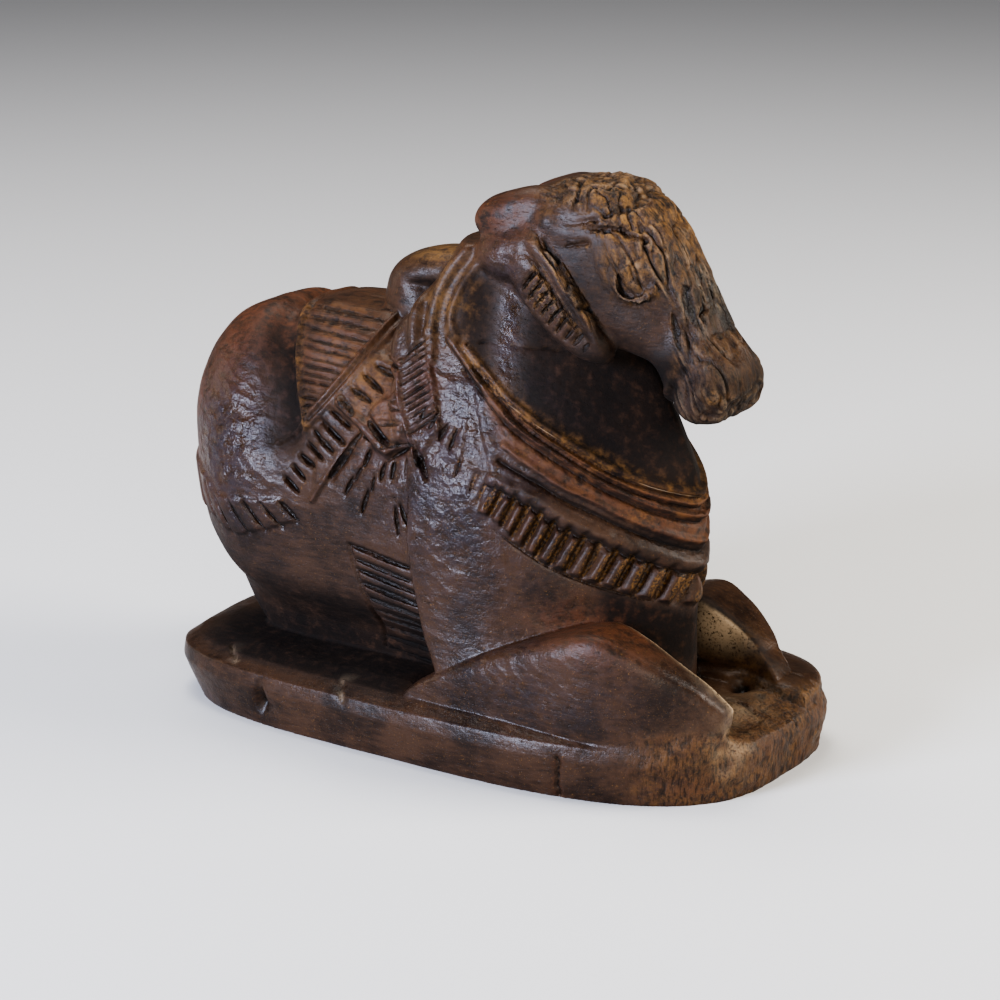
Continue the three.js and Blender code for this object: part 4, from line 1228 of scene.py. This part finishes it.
def darkWood():
    # dark brown wood with red wear, ochre dirt, soot and painted shade in its hollows and shadows, bare
    # edges, a handled polish and a painted cool sheen
    material = bpy.data.materials.new("darkWood")
    g, w = Graph(material), wood
    fine, wide, worn, shadow = g.painted("carving")
    ochre, red, pale, polish = g.painted("stain")
    cloth, front, neck, hem = g.painted("places")
    stroke, ledge, cut, _ = g.painted("lines")
    plain = g.stretched((1000, 1000, 1000))
    along = g.stretched((1000 / w["grainLength"], 1000, 1000))
    cloud = g.noise(plain, 0.07, 4)
    blotch = g.noise(plain, 0.35, 4, 0.6)
    speck = g.noise(plain, 1.3, 3, 0.65)
    grain = g.noise(along, 0.9, 5, 0.65)
    pores = g.noise(along, 2.6, 2, 0.5)
    furrows = g.noise(g.drawnOut(faceDown, 0.28), 0.75, 4, 0.62)
    upright = g.noise(g.stretched((1000, 1000, 260)), 1.1, 3, 0.6)
    polishAndSheen = g.most(polish, neck)
    # dark slits, painted shade and grime in the cuts: the strokes' own field, its edge a little shaken
    shake = g.math("SUBTRACT", speck, 0.5)
    slit = g.times(g.band(g.line(shake, 0.10, stroke), 0.49, 0.38), g.line(hem, -0.55, 1.0))
    slit = g.times(slit, g.line(cloth, -0.3, 1.0), g.band(blotch, 0.82, 0.42))
    slit = g.most(slit, g.band(g.line(shake, 0.12, cut), 0.44, 0.33, 0.8))
    # dark and brown wood in clouds and grain, red where it is worn, a painted cool sheen where it is
    # polished and on the neck's lit facet
    tone = g.math("ADD", g.times(cloud, 0.6), g.times(grain, 0.4))
    colour = g.mix(g.band(tone, 0.36, 0.62), w["dark"], w["brown"])
    redness = g.band(g.math("ADD", blotch, g.times(grain, 0.5)), 0.55, 0.9)
    colour = g.mix(g.math("MULTIPLY", red, redness, clamp=True), colour, w["red"])
    colour = g.mix(g.times(polishAndSheen, g.band(blotch, 0.32, 0.66, 0.7)), colour, w["paintedSheen"])
    # ochre sits in patches and, outside the shadows, in rare specks
    patch = g.math("ADD", g.times(blotch, 0.6), g.times(speck, 0.4))
    patch = g.times(ochre, g.band(patch, 0.38, 0.60))
    rare = g.most(g.band(speck, 0.64, 0.72, 0.45), g.band(g.noise(plain, 3.1, 2, 0.6), 0.66, 0.72, 0.6))
    rare = g.times(rare, g.line(shadow, -0.9, 1.0))
    colour = g.mix(g.most(patch, rare), colour, w["ochre"])
    # worn edges show browner wood, hollows hold soot and painted shade, the fringe's slots keep pale dirt
    # on their floors
    edge = g.times(g.band(g.times(fine, -1.0), 0.05, 0.4), g.band(speck, 0.35, 0.6, 0.5))
    colour = g.mix(edge, colour, w["red"])
    floor = g.times(hem, g.band(stroke, 0.5, 0.40), g.band(speck, 0.42, 0.62, 0.6))
    sootAndShade = g.times(g.band(fine, 0.10, 0.5), g.line(ochre, -0.35, 1.0), g.line(hem, -0.45, 1.0))
    colour = g.mix(g.times(sootAndShade, 0.92), colour, w["sootAndShade"])
    colour = g.mix(g.times(slit, 0.9), colour, w["sootAndShade"])
    colour = g.mix(floor, colour, w["ochre"])
    # soot and painted shade in the broad hollows
    colour = g.mix(g.band(wide, 0.6, 2.2, 0.55), colour, w["sootAndShade"])
    colour = g.mix(g.band(pores, 0.66, 0.76, 0.5), colour, w["sootAndShade"])
    streak = g.times(worn, g.band(furrows, 0.50, 0.36, 0.9))
    streak = g.most(streak, g.times(front, g.band(upright, 0.52, 0.36, 0.75)))
    colour = g.mix(streak, colour, w["sootAndShade"])
    # painted shade: the shade share darkens the colour towards the darkest colour
    colour = g.mix(g.times(shadow, g.band(blotch, 0.8, 0.45, 0.94)), colour, w["sootAndShade"])
    # bare wood, and a thin bright crest along the necklace's upper edge
    bare = g.math("MULTIPLY", pale, g.band(speck, 0.3, 0.5, 0.85), clamp=True)
    crest = g.times(g.band(ledge, 0.36, 0.41), g.band(ledge, 0.47, 0.42), hem)
    crest = g.times(crest, g.band(cloud, 0.44, 0.6, 0.8))
    colour = g.mix(g.most(bare, crest), colour, w["pale"])
    # dirt, shadow and red wood are duller, handled places shine
    rough = g.line(g.most(ochre, pale), 0.3, w["roughness"] - 0.12)
    rough = g.line(blotch, 0.24, rough)
    rough = g.line(shadow, 0.6, rough)
    rough = g.line(red, 0.16, g.line(hem, 0.10, rough))
    rough = g.line(polishAndSheen, -w["polish"], rough)
    # heights in millimetres: shallow tool facets on the shoulder and haunch, grain, pits, eroded brow
    cell = g.cells(g.drawnOut((0.93, 0, -0.36), 0.55), 0.36)
    rise = g.times(cell, cell, g.band(cloud, 0.36, 0.6), g.line(polish, w["facets"], 0.10))
    rise = g.line(g.times(blotch, g.line(polish, 0.5, 0.18)), 1.0, rise)
    rise = g.line(speck, 0.08, g.line(grain, 0.09, rise))
    rise = g.math("SUBTRACT", rise, g.band(pores, 0.64, 0.76, 0.08))
    rise = g.math("SUBTRACT", rise, g.times(slit, w["slitDepth"]))
    rise = g.line(g.times(worn, furrows), 1.1, rise)
    rise = g.line(g.times(front, upright), 0.5, rise)
    normal = g.node("Bump", {"Height": rise, "Distance": 0.001})[0]
    shader = g.node("BsdfPrincipled", {
        "Base Color": colour, "Roughness": rough, "Normal": normal, "Specular IOR Level": w["specular"],
    })
    g.node("OutputMaterial", {0: shader[0]})
    return material


piece.data.materials.append(darkWood())
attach(piece, "root")
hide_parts("nandi_bull")


# Floor, light and camera: places in metres, angles in degrees, power in watts.
studio = {
    "floor": (0.5, 0.5, 0.5, 1),
    "world": {"colour": (0.88, 0.86, 0.83, 1), "strength": 0.12},
    "lights": {  # place, size, power, colour
        "key": [(-0.38, -1.25, 0.44), (0.42, 0.42), 58, (0.70, 0.775, 1)],
        "side": [(-1.25, -0.3, 0.4), (0.4, 0.5), 3, (1, 0.88, 0.76)],
        "top": [(-0.25, 0.1, 1.15), (0.6, 0.6), 15, (1, 0.97, 0.93)],
        "edge": [(0.8, 0.4, 0.45), (0.5, 0.5), 20, (1, 0.95, 0.88)],
        "fill": [(0.7, -0.9, 0.35), (0.5, 0.4), 10, (1, 0.92, 0.82)],
    },
    "lightsLookAt": (0, 0, 0.06),
    "camera": {
        "azimuth": 34.46, "elevation": 16.65, "distance": 0.8717, "look": (0.002, 0, 0.0652), "lens": 110,
    },
    "look": "AgX - Medium High Contrast",
}


def makeFloor():
    # one flat square, far wider than the view
    corners = [[-4, -4, 0], [4, -4, 0], [4, 4, 0], [-4, 4, 0]]
    mesh = makeMesh("floor", np.array(corners, float), np.array([[0, 1, 2, 3]]))
    material = bpy.data.materials.new("paleFloor")
    material.use_nodes = True
    shader = material.node_tree.nodes["Principled BSDF"]
    shader.inputs["Base Color"].default_value = studio["floor"]
    shader.inputs["Roughness"].default_value = 0.8
    mesh.materials.append(material)
    addObject("floor", mesh)


def aim(thing, target):
    # turn a light or camera so that its back lies on the line from the target
    thing.rotation_euler = (Vector(target) - thing.location).to_track_quat("-Z", "Y").to_euler()


def makeLight(name, place, size, power, colour):
    # an area light that faces the figure
    light = bpy.data.lights.new(name, "AREA")
    light.shape, light.size, light.size_y = "RECTANGLE", size[0], size[1]
    light.energy, light.color = power, colour
    lamp = addObject(name, light)
    lamp.location = place
    aim(lamp, studio["lightsLookAt"])


def makeCamera():
    # at a distance from the point looked at, along its azimuth and elevation
    view = studio["camera"]
    a, e = math.radians(view["azimuth"]), math.radians(view["elevation"])
    back = np.array([math.sin(a) * math.cos(e), -math.cos(a) * math.cos(e), math.sin(e)])
    camera = addObject("camera", bpy.data.cameras.new("camera"))
    camera.data.lens, camera.data.sensor_width = view["lens"], 36
    camera.location = np.array(view["look"]) + back * view["distance"]
    aim(camera, view["look"])
    camera.data.clip_start, camera.data.clip_end = 0.01, 20
    bpy.context.scene.camera = camera


makeFloor()
makeCamera()
for name, light in studio["lights"].items():
    makeLight(name, *light)
world = bpy.data.worlds.new("studio")
world.use_nodes = True
background = world.node_tree.nodes["Background"]
background.inputs[0].default_value = studio["world"]["colour"]
background.inputs[1].default_value = studio["world"]["strength"]
bpy.context.scene.world = world
bpy.context.scene.view_settings.look = studio["look"]
print("studio ready")
